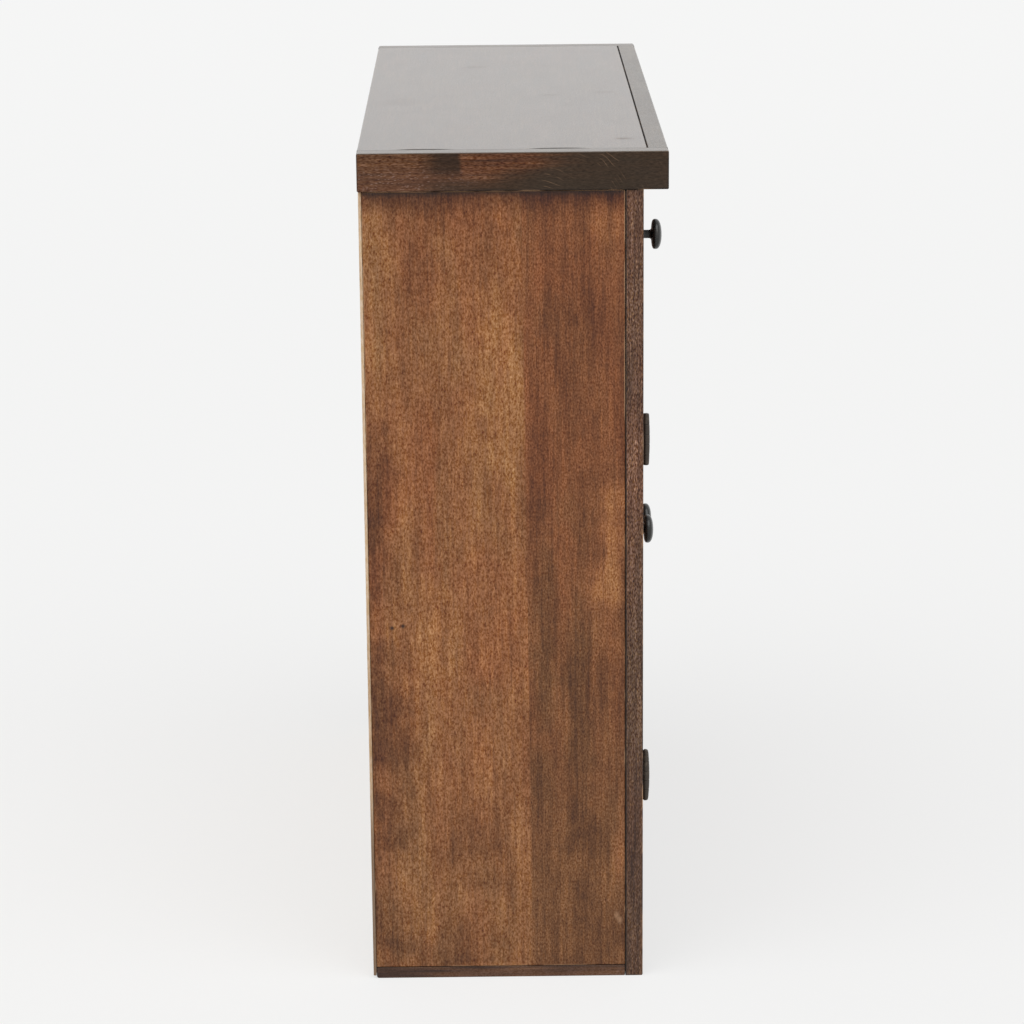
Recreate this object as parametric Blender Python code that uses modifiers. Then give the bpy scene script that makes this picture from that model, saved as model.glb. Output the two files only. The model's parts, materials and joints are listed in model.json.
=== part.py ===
"""A narrow wooden cabinet that stands on the floor: two drawers side by side over two hinged doors.

Run with: blender --background --python part.py, or from Blender's text editor.
Units are metres, +Z is up, the front faces -Y and the origin is on the floor under the middle.
"""

from math import acos, cos, pi, sin

import bmesh
import bpy
from mathutils import Matrix, Vector

# The whole cabinet
TOP_WIDTH = 0.800
TOP_DEPTH = 0.305
HEIGHT = 0.864

# The top: a thick board with a strip of solid wood on three edges
TOP_THICKNESS = 0.038
TOP_STRIP_WIDTH = 0.020
SIDE_OVERHANG = 0.003
FRONT_OVERHANG = 0.0245
REAR_OVERHANG = 0.001

# The case
SIDE_THICKNESS = 0.015
BACK_THICKNESS = 0.003
BACK_LIFT = 0.003
BASE_RUNNER_HEIGHT = 0.012
SHELF_THICKNESS = 0.015
SHELF_HEIGHT = 0.375
SHELF_SETBACK = 0.020
DIVIDER_THICKNESS = 0.012
HOUSING_DEPTH = 0.005

# The face frame; the doors and the drawer fronts are cut from the same boards and close flush with it
FRONT_BOARD_THICKNESS = 0.018
STILE_WIDTH = 0.040
TOP_RAIL_HEIGHT = 0.030
DRAWER_OPENING_HEIGHT = 0.108
MIDDLE_RAIL_HEIGHT = 0.030
BOTTOM_RAIL_HEIGHT = 0.112
MULLION_WIDTH = 0.030

# What the drawers run on
LEDGE_HEIGHT = 0.012
LEDGE_WIDTH = 0.020
GUIDE_HEIGHT = 0.020
KICKER_WIDTH = 0.040
STOP_WIDTH = 0.040
STOP_DEPTH = 0.015
STOP_RISE = 0.006

# The drawers
DRAWER_GAP = 0.002
DRAWER_SIDE_THICKNESS = 0.012
DRAWER_LIP = 0.009
DRAWER_HEADROOM = 0.005
DRAWER_REAR_ROOM = 0.012
DRAWER_BOTTOM_THICKNESS = 0.004
DRAWER_BOTTOM_RISE = 0.009
DRAWER_GROOVE_DEPTH = 0.005

# The doors
DOOR_GAP = 0.002
DOOR_FRAME_WIDTH = 0.046
DOOR_PANEL_THICKNESS = 0.006
DOOR_GROOVE_DEPTH = 0.008

# The knobs
KNOB_DIAMETER = 0.0315
KNOB_PROJECTION = 0.028
KNOB_CROWN_HEIGHT = 0.0070
KNOB_UNDERSIDE_HEIGHT = 0.0035
KNOB_NECK_DIAMETER = 0.0092
KNOB_FLARE_HEIGHT = 0.0070
KNOB_FOOT_DIAMETER = 0.016
KNOB_FOOT_THICKNESS = 0.002
KNOB_STUD_DIAMETER = 0.004
KNOB_STUD_LENGTH = 0.012
DOOR_KNOB_INSET = 0.024
DOOR_KNOB_DROP = 0.0065

# The hinges: butt hinges whose barrel stands in front of the face frame
HINGE_HEIGHT = 0.055
HINGE_BARREL_DIAMETER = 0.0080
HINGE_BARREL_END_DIAMETER = 0.0068
HINGE_TIP_HEIGHT = 0.0010
HINGE_TIP_TAPER = 0.0018
HINGE_PIN_DIAMETER = 0.0030
HINGE_PIN_PLAY = 0.00012
HINGE_LEAF_THICKNESS = 0.0012
HINGE_LEAF_DEPTH = 0.014
HINGE_LEAF_PLAY = 0.0003
HINGE_INSET = 0.092

# The magnetic catch that holds both doors shut, and the steel plate on each door that it pulls
CATCH_WIDTH = 0.052
CATCH_DEPTH = 0.014
CATCH_HEIGHT = 0.020
STRIKE_INSET = 0.016
STRIKE_DROP = 0.002
STRIKE_WIDTH = 0.014
STRIKE_HEIGHT = 0.014
STRIKE_THICKNESS = 0.0015

# Joints between pieces
JOINT_GAP = 0.0003
EASED_EDGE = 0.0008
SMALL_EASED_EDGE = 0.0004

CUT_MARGIN = 0.002

# How finely round pieces are divided, and how many knuckles a hinge has
KNOB_STEPS = 24
CROWN_STEPS = 6
UNDERSIDE_STEPS = 4
FLARE_STEPS = 4
BARREL_SIDES = 16
KNUCKLES = 5

# Places that follow from the sizes
TOP_HALF = TOP_WIDTH / 2
CASE_HALF = TOP_HALF - SIDE_OVERHANG
INNER_HALF = CASE_HALF - SIDE_THICKNESS
OPENING_HALF = CASE_HALF - STILE_WIDTH
MULLION_HALF = MULLION_WIDTH / 2

TOP_REAR_Y = (TOP_DEPTH + KNOB_PROJECTION + JOINT_GAP - FRONT_OVERHANG) / 2
TOP_FRONT_Y = TOP_REAR_Y - TOP_DEPTH
FACE_Y = TOP_FRONT_Y + FRONT_OVERHANG
FRAME_BACK_Y = FACE_Y + FRONT_BOARD_THICKNESS
CASE_REAR_Y = TOP_REAR_Y - REAR_OVERHANG
BACK_FRONT_Y = CASE_REAR_Y - BACK_THICKNESS

TOP_UNDER_Z = HEIGHT - TOP_THICKNESS
DRAWER_TOP_Z = TOP_UNDER_Z - TOP_RAIL_HEIGHT
DRAWER_FLOOR_Z = DRAWER_TOP_Z - DRAWER_OPENING_HEIGHT
DOOR_TOP_Z = DRAWER_FLOOR_Z - MIDDLE_RAIL_HEIGHT
DIVIDER_TOP_Z = DRAWER_FLOOR_Z - LEDGE_HEIGHT
DIVIDER_UNDER_Z = DIVIDER_TOP_Z - DIVIDER_THICKNESS
DRAWER_CENTRE_X = (OPENING_HALF + MULLION_HALF) / 2
DOOR_MIDDLE_Z = (DOOR_TOP_Z + BOTTOM_RAIL_HEIGHT) / 2

INSIDE_Y = (FRAME_BACK_Y + JOINT_GAP, BACK_FRONT_Y - JOINT_GAP)
SIDES = {"left": -1, "right": 1}

FINISHES = {
    "side_veneer": ((0.205, 0.088, 0.040), 0.48, 0.0),
    "frame_stain": ((0.100, 0.056, 0.036), 0.45, 0.0),
    "top_stain": ((0.080, 0.048, 0.032), 0.30, 0.0),
    "inside_veneer": ((0.190, 0.100, 0.055), 0.55, 0.0),
    "drawer_wood": ((0.480, 0.330, 0.195), 0.60, 0.0),
    "raw_board": ((0.560, 0.410, 0.265), 0.75, 0.0),
    "black_iron": ((0.018, 0.018, 0.018), 0.42, 0.6),
    "brown_plastic": ((0.045, 0.026, 0.018), 0.50, 0.0),
    "bright_steel": ((0.560, 0.560, 0.570), 0.30, 1.0),
}


def clear_scene():
    for obj in list(bpy.data.objects):
        bpy.data.objects.remove(obj)


def new_collection(name):
    made = bpy.data.collections.new(name)
    bpy.context.scene.collection.children.link(made)
    return made


def finish_material(name):
    """The Principled material of one finish, made when it is first asked for."""
    made = bpy.data.materials.get(name)
    if made is None:
        colour, roughness, metallic = FINISHES[name]
        made = bpy.data.materials.new(name)
        made.use_nodes = True
        made.diffuse_color = (*colour, 1.0)
        shader = made.node_tree.nodes["Principled BSDF"]
        shader.inputs["Base Color"].default_value = (*colour, 1.0)
        shader.inputs["Roughness"].default_value = roughness
        shader.inputs["Metallic"].default_value = metallic
    return made


def mirrored(side, near, far):
    """The x range between two distances from the middle, on the left (side -1) or the right (side 1)."""
    return tuple(sorted((side * near, side * far)))


def about(middle, width):
    return (middle - width / 2, middle + width / 2)


def box(name, x, y, z):
    """A box between the given ranges, with its origin at its centre."""
    size = Vector((x[1] - x[0], y[1] - y[0], z[1] - z[0]))
    shape = bmesh.new()
    bmesh.ops.create_cube(shape, size=1.0, matrix=Matrix.Diagonal((*size, 1.0)))
    mesh = bpy.data.meshes.new(name)
    shape.to_mesh(mesh)
    shape.free()
    made = bpy.data.objects.new(name, mesh)
    made.location = (sum(x) / 2, sum(y) / 2, sum(z) / 2)
    return made


def round_bar(axis_x, axis_y, z, low_radius, high_radius):
    """An upright bar between two heights, whose radius may differ at its two ends."""
    shape = bmesh.new()
    bmesh.ops.create_cone(
        shape,
        cap_ends=True,
        segments=BARREL_SIDES,
        radius1=low_radius,
        radius2=high_radius,
        depth=z[1] - z[0],
    )
    for face in shape.faces:
        is_cap = len(face.verts) == BARREL_SIDES
        face.smooth = not is_cap
    mesh = bpy.data.meshes.new("round_bar")
    shape.to_mesh(mesh)
    shape.free()
    made = bpy.data.objects.new("round_bar", mesh)
    made.location = (axis_x, axis_y, sum(z) / 2)
    return made


class Model:
    """The collections that the pieces and their cutters go in."""

    def __init__(self):
        self.pieces = new_collection("drawer_cabinet")
        self.cutters = new_collection("cutters")

    def keep(self, obj, finish):
        obj.data.materials.append(finish_material(finish))
        self.pieces.objects.link(obj)
        return obj

    def board(self, name, finish, x, y, z, eased=EASED_EDGE):
        """One piece of wood or sheet, with its edges eased."""
        made = self.keep(box(name, x, y, z), finish)
        if eased:
            edges = made.modifiers.new("eased edges", "BEVEL")
            edges.width = eased
            edges.segments = 1
            edges.limit_method = "ANGLE"
        return made

    def apply_tool(self, obj, tool, operation):
        tool.name = f"{obj.name}_{operation.lower()}_{len(obj.modifiers)}"
        tool.hide_render = True
        tool.display_type = "WIRE"
        self.cutters.objects.link(tool)
        step = obj.modifiers.new(tool.name, "BOOLEAN")
        step.operation = operation
        step.object = tool

    def join(self, obj, tool):
        self.apply_tool(obj, tool, "UNION")

    def take_out(self, obj, tool):
        self.apply_tool(obj, tool, "DIFFERENCE")

    def cut(self, obj, x, y, z):
        """Takes a box out of the piece."""
        self.take_out(obj, box("cut", x, y, z))

    def carry(self, name, origin, members):
        """An empty on the joint's axis that its pieces hang from."""
        handle = bpy.data.objects.new(name, None)
        handle.location = origin
        handle.empty_display_size = 0.05
        self.pieces.objects.link(handle)
        for piece in members:
            piece.parent = handle
            piece.location = piece.location - handle.location


def build_top(model):
    """The board of the top, with a strip at the front and at each end, and a V groove along each seam."""
    inner = TOP_HALF - TOP_STRIP_WIDTH - JOINT_GAP
    strip_back = TOP_FRONT_Y + TOP_STRIP_WIDTH
    z = (TOP_UNDER_Z, HEIGHT)
    model.board("top_panel", "top_stain", (-inner, inner), (strip_back + JOINT_GAP, TOP_REAR_Y), z)
    model.board("top_strip_front", "frame_stain", (-inner, inner), (TOP_FRONT_Y, strip_back), z)
    for name, side in SIDES.items():
        x = mirrored(side, TOP_HALF - TOP_STRIP_WIDTH, TOP_HALF)
        model.board(f"top_strip_{name}", "frame_stain", x, (TOP_FRONT_Y, TOP_REAR_Y), z)


def house(model, panel, y, z):
    """Cuts the housing in a side panel that the end of a level board sits in."""
    side = 1 if panel.location.x > 0 else -1
    x = mirrored(side, INNER_HALF - CUT_MARGIN, INNER_HALF + HOUSING_DEPTH)
    model.cut(panel, x, y, (z[0] - JOINT_GAP, z[1] + JOINT_GAP))


def build_case(model):
    """Side panels on their runners, the back, and the three level boards housed in the sides."""
    through = (INSIDE_Y[0] - CUT_MARGIN, INSIDE_Y[1] + CUT_MARGIN)
    shelf_front = FRAME_BACK_Y + SHELF_SETBACK
    levels = {
        "bottom_panel": (BOTTOM_RAIL_HEIGHT - SHELF_THICKNESS, BOTTOM_RAIL_HEIGHT),
        "shelf": (SHELF_HEIGHT, SHELF_HEIGHT + SHELF_THICKNESS),
        "drawer_divider": (DIVIDER_UNDER_Z, DIVIDER_TOP_Z),
    }
    reach = INNER_HALF + HOUSING_DEPTH - JOINT_GAP
    for name, z in levels.items():
        front = shelf_front if name == "shelf" else INSIDE_Y[0]
        model.board(name, "inside_veneer", (-reach, reach), (front, INSIDE_Y[1]), z)
    for name, side in SIDES.items():
        x = mirrored(side, INNER_HALF, CASE_HALF)
        z = (BASE_RUNNER_HEIGHT + JOINT_GAP, TOP_UNDER_Z - JOINT_GAP)
        panel = model.board(f"side_panel_{name}", "side_veneer", x, INSIDE_Y, z)
        for level, level_z in levels.items():
            y = (shelf_front - JOINT_GAP, through[1]) if level == "shelf" else through
            house(model, panel, y, level_z)
        model.board(f"base_runner_{name}", "frame_stain", x, INSIDE_Y, (0.0, BASE_RUNNER_HEIGHT))
    model.board(
        "back_panel",
        "raw_board",
        (-CASE_HALF, CASE_HALF),
        (BACK_FRONT_Y, CASE_REAR_Y),
        (BACK_LIFT, TOP_UNDER_Z - JOINT_GAP),
        eased=SMALL_EASED_EDGE,
    )


def build_face_frame(model, hinge_heights):
    """Two stiles, three rails and the mullion between the drawers."""
    y = (FACE_Y, FRAME_BACK_Y)
    top_z = TOP_UNDER_Z - JOINT_GAP
    for name, side in SIDES.items():
        x = mirrored(side, OPENING_HALF, CASE_HALF)
        stile = model.board(f"frame_stile_{name}", "frame_stain", x, y, (0.0, top_z))
        for middle in hinge_heights.values():
            let_in_leaf(model, stile, side * OPENING_HALF, side, middle)
    rail_x = (JOINT_GAP - OPENING_HALF, OPENING_HALF - JOINT_GAP)
    model.board("frame_rail_top", "frame_stain", rail_x, y, (DRAWER_TOP_Z, top_z))
    model.board("frame_rail_middle", "frame_stain", rail_x, y, (DOOR_TOP_Z, DRAWER_FLOOR_Z))
    model.board("frame_rail_bottom", "frame_stain", rail_x, y, (0.0, BOTTOM_RAIL_HEIGHT))
    model.board(
        "frame_mullion",
        "frame_stain",
        (-MULLION_HALF, MULLION_HALF),
        y,
        (DRAWER_FLOOR_Z + JOINT_GAP, DRAWER_TOP_Z - JOINT_GAP),
    )


def build_runners(model):
    """Rebated runners that carry and guide the drawers, kickers above them and stops behind their fronts."""
    z = (DIVIDER_TOP_Z + JOINT_GAP, DRAWER_FLOOR_Z + GUIDE_HEIGHT)
    above_ledge = (DRAWER_FLOOR_Z, z[1] + CUT_MARGIN)
    through = (INSIDE_Y[0] - CUT_MARGIN, INSIDE_Y[1] + CUT_MARGIN)
    reach = MULLION_HALF + LEDGE_WIDTH
    middle = model.board(
        "drawer_runner_middle", "drawer_wood", (-reach, reach), INSIDE_Y, z, eased=SMALL_EASED_EDGE
    )
    for name, side in SIDES.items():
        model.cut(middle, mirrored(side, MULLION_HALF, reach + CUT_MARGIN), through, above_ledge)
        inner = OPENING_HALF - LEDGE_WIDTH
        outer = model.board(
            f"drawer_runner_{name}",
            "drawer_wood",
            mirrored(side, inner, INNER_HALF - JOINT_GAP),
            INSIDE_Y,
            z,
            eased=SMALL_EASED_EDGE,
        )
        model.cut(outer, mirrored(side, inner - CUT_MARGIN, OPENING_HALF), through, above_ledge)
        centre = side * DRAWER_CENTRE_X
        model.board(
            f"drawer_kicker_{name}",
            "drawer_wood",
            about(centre, KICKER_WIDTH),
            INSIDE_Y,
            (DRAWER_TOP_Z, TOP_UNDER_Z - JOINT_GAP),
        )
        model.board(
            f"drawer_stop_{name}",
            "drawer_wood",
            about(centre, STOP_WIDTH),
            (INSIDE_Y[0], INSIDE_Y[0] + STOP_DEPTH),
            (DIVIDER_TOP_Z + JOINT_GAP, DRAWER_FLOOR_Z + STOP_RISE),
        )


def knob_outline():
    """Half of the knob's section as (radius, height above the face), from the crown down to the stud's end."""
    radius = KNOB_DIAMETER / 2
    neck = KNOB_NECK_DIAMETER / 2
    foot = KNOB_FOOT_DIAMETER / 2
    rim_height = KNOB_PROJECTION - KNOB_CROWN_HEIGHT
    points = [(0.0, KNOB_PROJECTION)]
    for step in range(1, CROWN_STEPS + 1):
        turn = pi / 2 * (1 - step / CROWN_STEPS)
        points.append((radius * cos(turn), rim_height + KNOB_CROWN_HEIGHT * sin(turn)))
    last_turn = acos(neck / radius)
    for step in range(1, UNDERSIDE_STEPS + 1):
        turn = last_turn * step / UNDERSIDE_STEPS
        points.append((radius * cos(turn), rim_height - KNOB_UNDERSIDE_HEIGHT * sin(turn)))
    for step in range(FLARE_STEPS + 1):
        share = step / FLARE_STEPS
        swell = (1 - cos(pi * share)) / 2
        height = KNOB_FOOT_THICKNESS + KNOB_FLARE_HEIGHT * (1 - share)
        points.append((neck + (foot - neck) * swell, height))
    stud = KNOB_STUD_DIAMETER / 2
    points += [(foot, 0.0), (stud, 0.0), (stud, -KNOB_STUD_LENGTH), (0.0, -KNOB_STUD_LENGTH)]
    return points


def add_knob(model, name, board, x, z):
    """A turned knob with a threaded stud, and the blind hole in its board that the stud screws into."""
    outline = knob_outline()
    mesh = bpy.data.meshes.new(name)
    mesh.from_pydata(
        [(radius, 0.0, height) for radius, height in outline],
        [(i, i + 1) for i in range(len(outline) - 1)],
        [],
    )
    knob = model.keep(bpy.data.objects.new(name, mesh), "black_iron")
    knob.location = (x, FACE_Y - JOINT_GAP, z)
    knob.rotation_euler = (pi / 2, 0.0, 0.0)
    turning = knob.modifiers.new("turned", "SCREW")
    turning.steps = turning.render_steps = KNOB_STEPS
    turning.use_merge_vertices = True
    turning.merge_threshold = 0.00001
    turning.use_smooth_shade = True
    hole_radius = KNOB_STUD_DIAMETER / 2 / cos(pi / BARREL_SIDES) + JOINT_GAP
    hole = round_bar(0.0, 0.0, (-KNOB_STUD_LENGTH, CUT_MARGIN), hole_radius, hole_radius)
    hole.rotation_euler = (pi / 2, 0.0, 0.0)
    hole.location = (x, FACE_Y + (KNOB_STUD_LENGTH - CUT_MARGIN) / 2, z)
    model.take_out(board, hole)
    return knob


def build_drawer(model, name, side):
    """One drawer: its front rebated over the sides, and the bottom let into grooves and under the back."""
    inner, outer = MULLION_HALF + DRAWER_GAP, OPENING_HALF - DRAWER_GAP
    side_top = DRAWER_TOP_Z - DRAWER_HEADROOM
    side_floor = DRAWER_FLOOR_Z + JOINT_GAP
    rear = BACK_FRONT_Y - DRAWER_REAR_ROOM
    lip_y = FACE_Y + DRAWER_LIP
    bottom_z = side_floor + DRAWER_BOTTOM_RISE
    bottom_top = bottom_z + DRAWER_BOTTOM_THICKNESS
    groove_z = (bottom_z - JOINT_GAP, bottom_top + JOINT_GAP)
    front = model.board(
        f"drawer_front_{name}",
        "frame_stain",
        mirrored(side, inner, outer),
        (FACE_Y, FRAME_BACK_Y),
        (DRAWER_FLOOR_Z + DRAWER_GAP, DRAWER_TOP_Z - DRAWER_GAP),
    )
    full_height = (DRAWER_FLOOR_Z - CUT_MARGIN, DRAWER_TOP_Z + CUT_MARGIN)
    behind_lip = (lip_y, FRAME_BACK_Y + CUT_MARGIN)
    inside = (inner + DRAWER_SIDE_THICKNESS, outer - DRAWER_SIDE_THICKNESS)
    model.cut(front, mirrored(side, inner - CUT_MARGIN, inside[0] + JOINT_GAP), behind_lip, full_height)
    model.cut(front, mirrored(side, inside[1] - JOINT_GAP, outer + CUT_MARGIN), behind_lip, full_height)
    groove_y = (FRAME_BACK_Y - DRAWER_GROOVE_DEPTH, FRAME_BACK_Y + CUT_MARGIN)
    model.cut(front, mirrored(side, *inside), groove_y, groove_z)
    members = [front]
    walls = {
        "inner": (inner, inside[0], inside[0] - DRAWER_GROOVE_DEPTH, inside[0] + CUT_MARGIN),
        "outer": (inside[1], outer, inside[1] - CUT_MARGIN, inside[1] + DRAWER_GROOVE_DEPTH),
    }
    for wall, (near, far, groove_near, groove_far) in walls.items():
        board = model.board(
            f"drawer_side_{name}_{wall}",
            "drawer_wood",
            mirrored(side, near, far),
            (lip_y + JOINT_GAP, rear),
            (side_floor, side_top),
            eased=SMALL_EASED_EDGE,
        )
        groove_x = mirrored(side, groove_near, groove_far)
        model.cut(board, groove_x, (lip_y - CUT_MARGIN, rear + CUT_MARGIN), groove_z)
        members.append(board)
    back = model.board(
        f"drawer_back_{name}",
        "drawer_wood",
        mirrored(side, inside[0] + JOINT_GAP, inside[1] - JOINT_GAP),
        (rear - DRAWER_SIDE_THICKNESS, rear),
        (bottom_top + JOINT_GAP, side_top),
        eased=SMALL_EASED_EDGE,
    )
    bite = DRAWER_GROOVE_DEPTH - JOINT_GAP
    bottom = model.board(
        f"drawer_bottom_{name}",
        "raw_board",
        mirrored(side, inside[0] - bite, inside[1] + bite),
        (FRAME_BACK_Y - bite, rear),
        (bottom_z, bottom_top),
        eased=0.0,
    )
    centre = side * DRAWER_CENTRE_X
    middle_z = (DRAWER_FLOOR_Z + DRAWER_TOP_Z) / 2
    knob = add_knob(model, f"drawer_knob_{name}", front, centre, middle_z)
    members += [back, bottom, knob]
    model.carry(f"drawer_{name}_slide", (centre, FACE_Y, DRAWER_FLOOR_Z), members)


def hinge_axis(side):
    """Where a door's hinge line stands, seen from above."""
    x = side * (OPENING_HALF - DOOR_GAP / 2)
    y = FACE_Y - HINGE_BARREL_DIAMETER / 2 - JOINT_GAP
    return x, y


def barrel_radius(offset):
    """The barrel swells towards its middle; offset is the height above the hinge's middle."""
    ends, middle = HINGE_BARREL_END_DIAMETER / 2, HINGE_BARREL_DIAMETER / 2
    return middle - (middle - ends) * (2 * offset / HINGE_HEIGHT) ** 2


def let_in_leaf(model, board, edge_x, into_board, middle):
    """Cuts the shallow recess for a hinge leaf into a stile's edge; into_board is 1 or -1 along X."""
    depth = HINGE_LEAF_THICKNESS + HINGE_LEAF_PLAY / 2 - DOOR_GAP / 2 + JOINT_GAP
    x = mirrored(into_board, into_board * edge_x - CUT_MARGIN, into_board * edge_x + depth)
    y = (FACE_Y - CUT_MARGIN, FACE_Y + HINGE_LEAF_DEPTH + JOINT_GAP)
    model.cut(board, x, y, about(middle, HINGE_HEIGHT + 2 * JOINT_GAP))


def hinge_leaf(model, name, side, middle, on_door):
    """One leaf of a hinge with its share of the knuckles. The frame's leaf also holds the pin."""
    axis_x, axis_y = hinge_axis(side)
    towards = -side if on_door else side
    near = axis_x + towards * HINGE_LEAF_PLAY / 2
    far = near + towards * HINGE_LEAF_THICKNESS
    plate_x = (min(near, far), max(near, far))
    plate_y = (axis_y, FACE_Y + HINGE_LEAF_DEPTH)
    leaf = model.board(name, "black_iron", plate_x, plate_y, about(middle, HINGE_HEIGHT), eased=0.0)
    notch_x = about(axis_x, HINGE_BARREL_DIAMETER)
    notch_y = (axis_y - CUT_MARGIN, axis_y + HINGE_BARREL_DIAMETER / 2 + JOINT_GAP)
    step = HINGE_HEIGHT / KNUCKLES
    for number in range(KNUCKLES):
        low = number * step - HINGE_HEIGHT / 2
        high = low + step
        if (number % 2 == 1) == on_door:
            span = (middle + low + JOINT_GAP / 2, middle + high - JOINT_GAP / 2)
            knuckle = round_bar(axis_x, axis_y, span, barrel_radius(low), barrel_radius(high))
            model.join(leaf, knuckle)
        else:
            notch_z = (middle + low - JOINT_GAP / 2, middle + high + JOINT_GAP / 2)
            model.cut(leaf, notch_x, notch_y, notch_z)
    if on_door:
        bore = HINGE_PIN_DIAMETER / 2 / cos(pi / BARREL_SIDES) + HINGE_PIN_PLAY
        through = about(middle, HINGE_HEIGHT + 2 * CUT_MARGIN)
        model.take_out(leaf, round_bar(axis_x, axis_y, through, bore, bore))
    else:
        join_pin(model, leaf, axis_x, axis_y, middle)
    return leaf


def join_pin(model, leaf, axis_x, axis_y, middle):
    """The pin through the knuckles, fast in the frame's leaf, with a low tip at each end of the barrel."""
    pin_radius = HINGE_PIN_DIAMETER / 2
    pin_z = about(middle, HINGE_HEIGHT - HINGE_HEIGHT / KNUCKLES)
    model.join(leaf, round_bar(axis_x, axis_y, pin_z, pin_radius, pin_radius))
    wide = HINGE_BARREL_END_DIAMETER / 2
    narrow = wide - HINGE_TIP_TAPER
    for end, radii in ((-1, (narrow, wide)), (1, (wide, narrow))):
        tip_z = about(middle + end * HINGE_HEIGHT / 2, 2 * HINGE_TIP_HEIGHT)
        model.join(leaf, round_bar(axis_x, axis_y, tip_z, *radii))


def build_door(model, name, side, hinge_heights):
    """One door: two grooved stiles, two rails with stub tenons, and a loose panel in the grooves."""
    meeting, hinged = DOOR_GAP / 2, OPENING_HALF - DOOR_GAP
    y = (FACE_Y, FRAME_BACK_Y)
    z = (BOTTOM_RAIL_HEIGHT + DOOR_GAP, DOOR_TOP_Z - DOOR_GAP)
    through_z = (z[0] - CUT_MARGIN, z[1] + CUT_MARGIN)
    middle_y = (FACE_Y + FRAME_BACK_Y) / 2
    groove_y = about(middle_y, DOOR_PANEL_THICKNESS + 2 * JOINT_GAP)
    inner = (meeting + DOOR_FRAME_WIDTH, hinged - DOOR_FRAME_WIDTH)
    lock_stile = model.board(
        f"door_stile_{name}_lock", "frame_stain", mirrored(side, meeting, inner[0]), y, z
    )
    hinge_stile = model.board(
        f"door_stile_{name}_hinge", "frame_stain", mirrored(side, inner[1], hinged), y, z
    )
    lock_groove = mirrored(side, inner[0] - DOOR_GROOVE_DEPTH, inner[0] + CUT_MARGIN)
    hinge_groove = mirrored(side, inner[1] - CUT_MARGIN, inner[1] + DOOR_GROOVE_DEPTH)
    model.cut(lock_stile, lock_groove, groove_y, through_z)
    model.cut(hinge_stile, hinge_groove, groove_y, through_z)
    tenon = DOOR_GROOVE_DEPTH - JOINT_GAP
    tenon_x = (inner[0] - tenon, inner[1] + tenon)
    through_x = (tenon_x[0] - CUT_MARGIN, tenon_x[1] + CUT_MARGIN)
    shoulders = (
        (through_x[0], inner[0] + JOINT_GAP),
        (inner[1] - JOINT_GAP, through_x[1]),
    )
    cheeks = (
        (y[0] - CUT_MARGIN, middle_y - DOOR_PANEL_THICKNESS / 2),
        (middle_y + DOOR_PANEL_THICKNESS / 2, y[1] + CUT_MARGIN),
    )
    low_inner, high_inner = z[0] + DOOR_FRAME_WIDTH, z[1] - DOOR_FRAME_WIDTH
    rails = {
        "bottom": (z[0], low_inner, low_inner - DOOR_GROOVE_DEPTH, low_inner + CUT_MARGIN),
        "top": (high_inner, z[1], high_inner - CUT_MARGIN, high_inner + DOOR_GROOVE_DEPTH),
    }
    members = [lock_stile, hinge_stile]
    for level, (low, high, groove_low, groove_high) in rails.items():
        rail_name = f"door_rail_{name}_{level}"
        rail = model.board(rail_name, "frame_stain", mirrored(side, *tenon_x), y, (low, high))
        model.cut(rail, mirrored(side, *through_x), groove_y, (groove_low, groove_high))
        for shoulder in shoulders:
            for cheek in cheeks:
                model.cut(rail, mirrored(side, *shoulder), cheek, through_z)
        members.append(rail)
    panel = model.board(
        f"door_panel_{name}",
        "side_veneer",
        mirrored(side, *tenon_x),
        about(middle_y, DOOR_PANEL_THICKNESS),
        (low_inner - tenon, high_inner + tenon),
        eased=0.0,
    )
    knob_z = DOOR_MIDDLE_Z - DOOR_KNOB_DROP
    knob = add_knob(model, f"door_knob_{name}", lock_stile, side * DOOR_KNOB_INSET, knob_z)
    members += [panel, knob, build_strike(model, name, side)]
    for level, middle in hinge_heights.items():
        let_in_leaf(model, hinge_stile, side * hinged, -side, middle)
        hinge_leaf(model, f"hinge_{name}_{level}_frame_leaf", side, middle, on_door=False)
        leaf = hinge_leaf(model, f"hinge_{name}_{level}_door_leaf", side, middle, on_door=True)
        members.append(leaf)
    model.carry(f"door_{name}_pivot", (*hinge_axis(side), z[0]), members)


def build_strike(model, name, side):
    """The steel plate at the top of a door's back, where the catch pulls it."""
    top = DOOR_TOP_Z - DOOR_GAP - STRIKE_DROP
    return model.board(
        f"door_strike_{name}",
        "bright_steel",
        about(side * STRIKE_INSET, STRIKE_WIDTH),
        (FRAME_BACK_Y + JOINT_GAP, FRAME_BACK_Y + JOINT_GAP + STRIKE_THICKNESS),
        (top - STRIKE_HEIGHT, top),
        eased=SMALL_EASED_EDGE,
    )


def build_catch(model):
    """The magnetic catch for both doors, screwed up under the drawer divider."""
    front = FRAME_BACK_Y + STRIKE_THICKNESS + 2 * JOINT_GAP
    top = DIVIDER_UNDER_Z - JOINT_GAP
    model.board(
        "door_catch",
        "brown_plastic",
        about(0.0, CATCH_WIDTH),
        (front, front + CATCH_DEPTH),
        (top - CATCH_HEIGHT, top),
    )


def main():
    clear_scene()
    model = Model()
    hinge_heights = {
        "lower": BOTTOM_RAIL_HEIGHT + DOOR_GAP + HINGE_INSET,
        "upper": DOOR_TOP_Z - DOOR_GAP - HINGE_INSET,
    }
    build_top(model)
    build_case(model)
    build_face_frame(model, hinge_heights)
    build_runners(model)
    build_catch(model)
    for name, side in SIDES.items():
        build_drawer(model, name, side)
        build_door(model, name, side, hinge_heights)


main()
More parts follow.
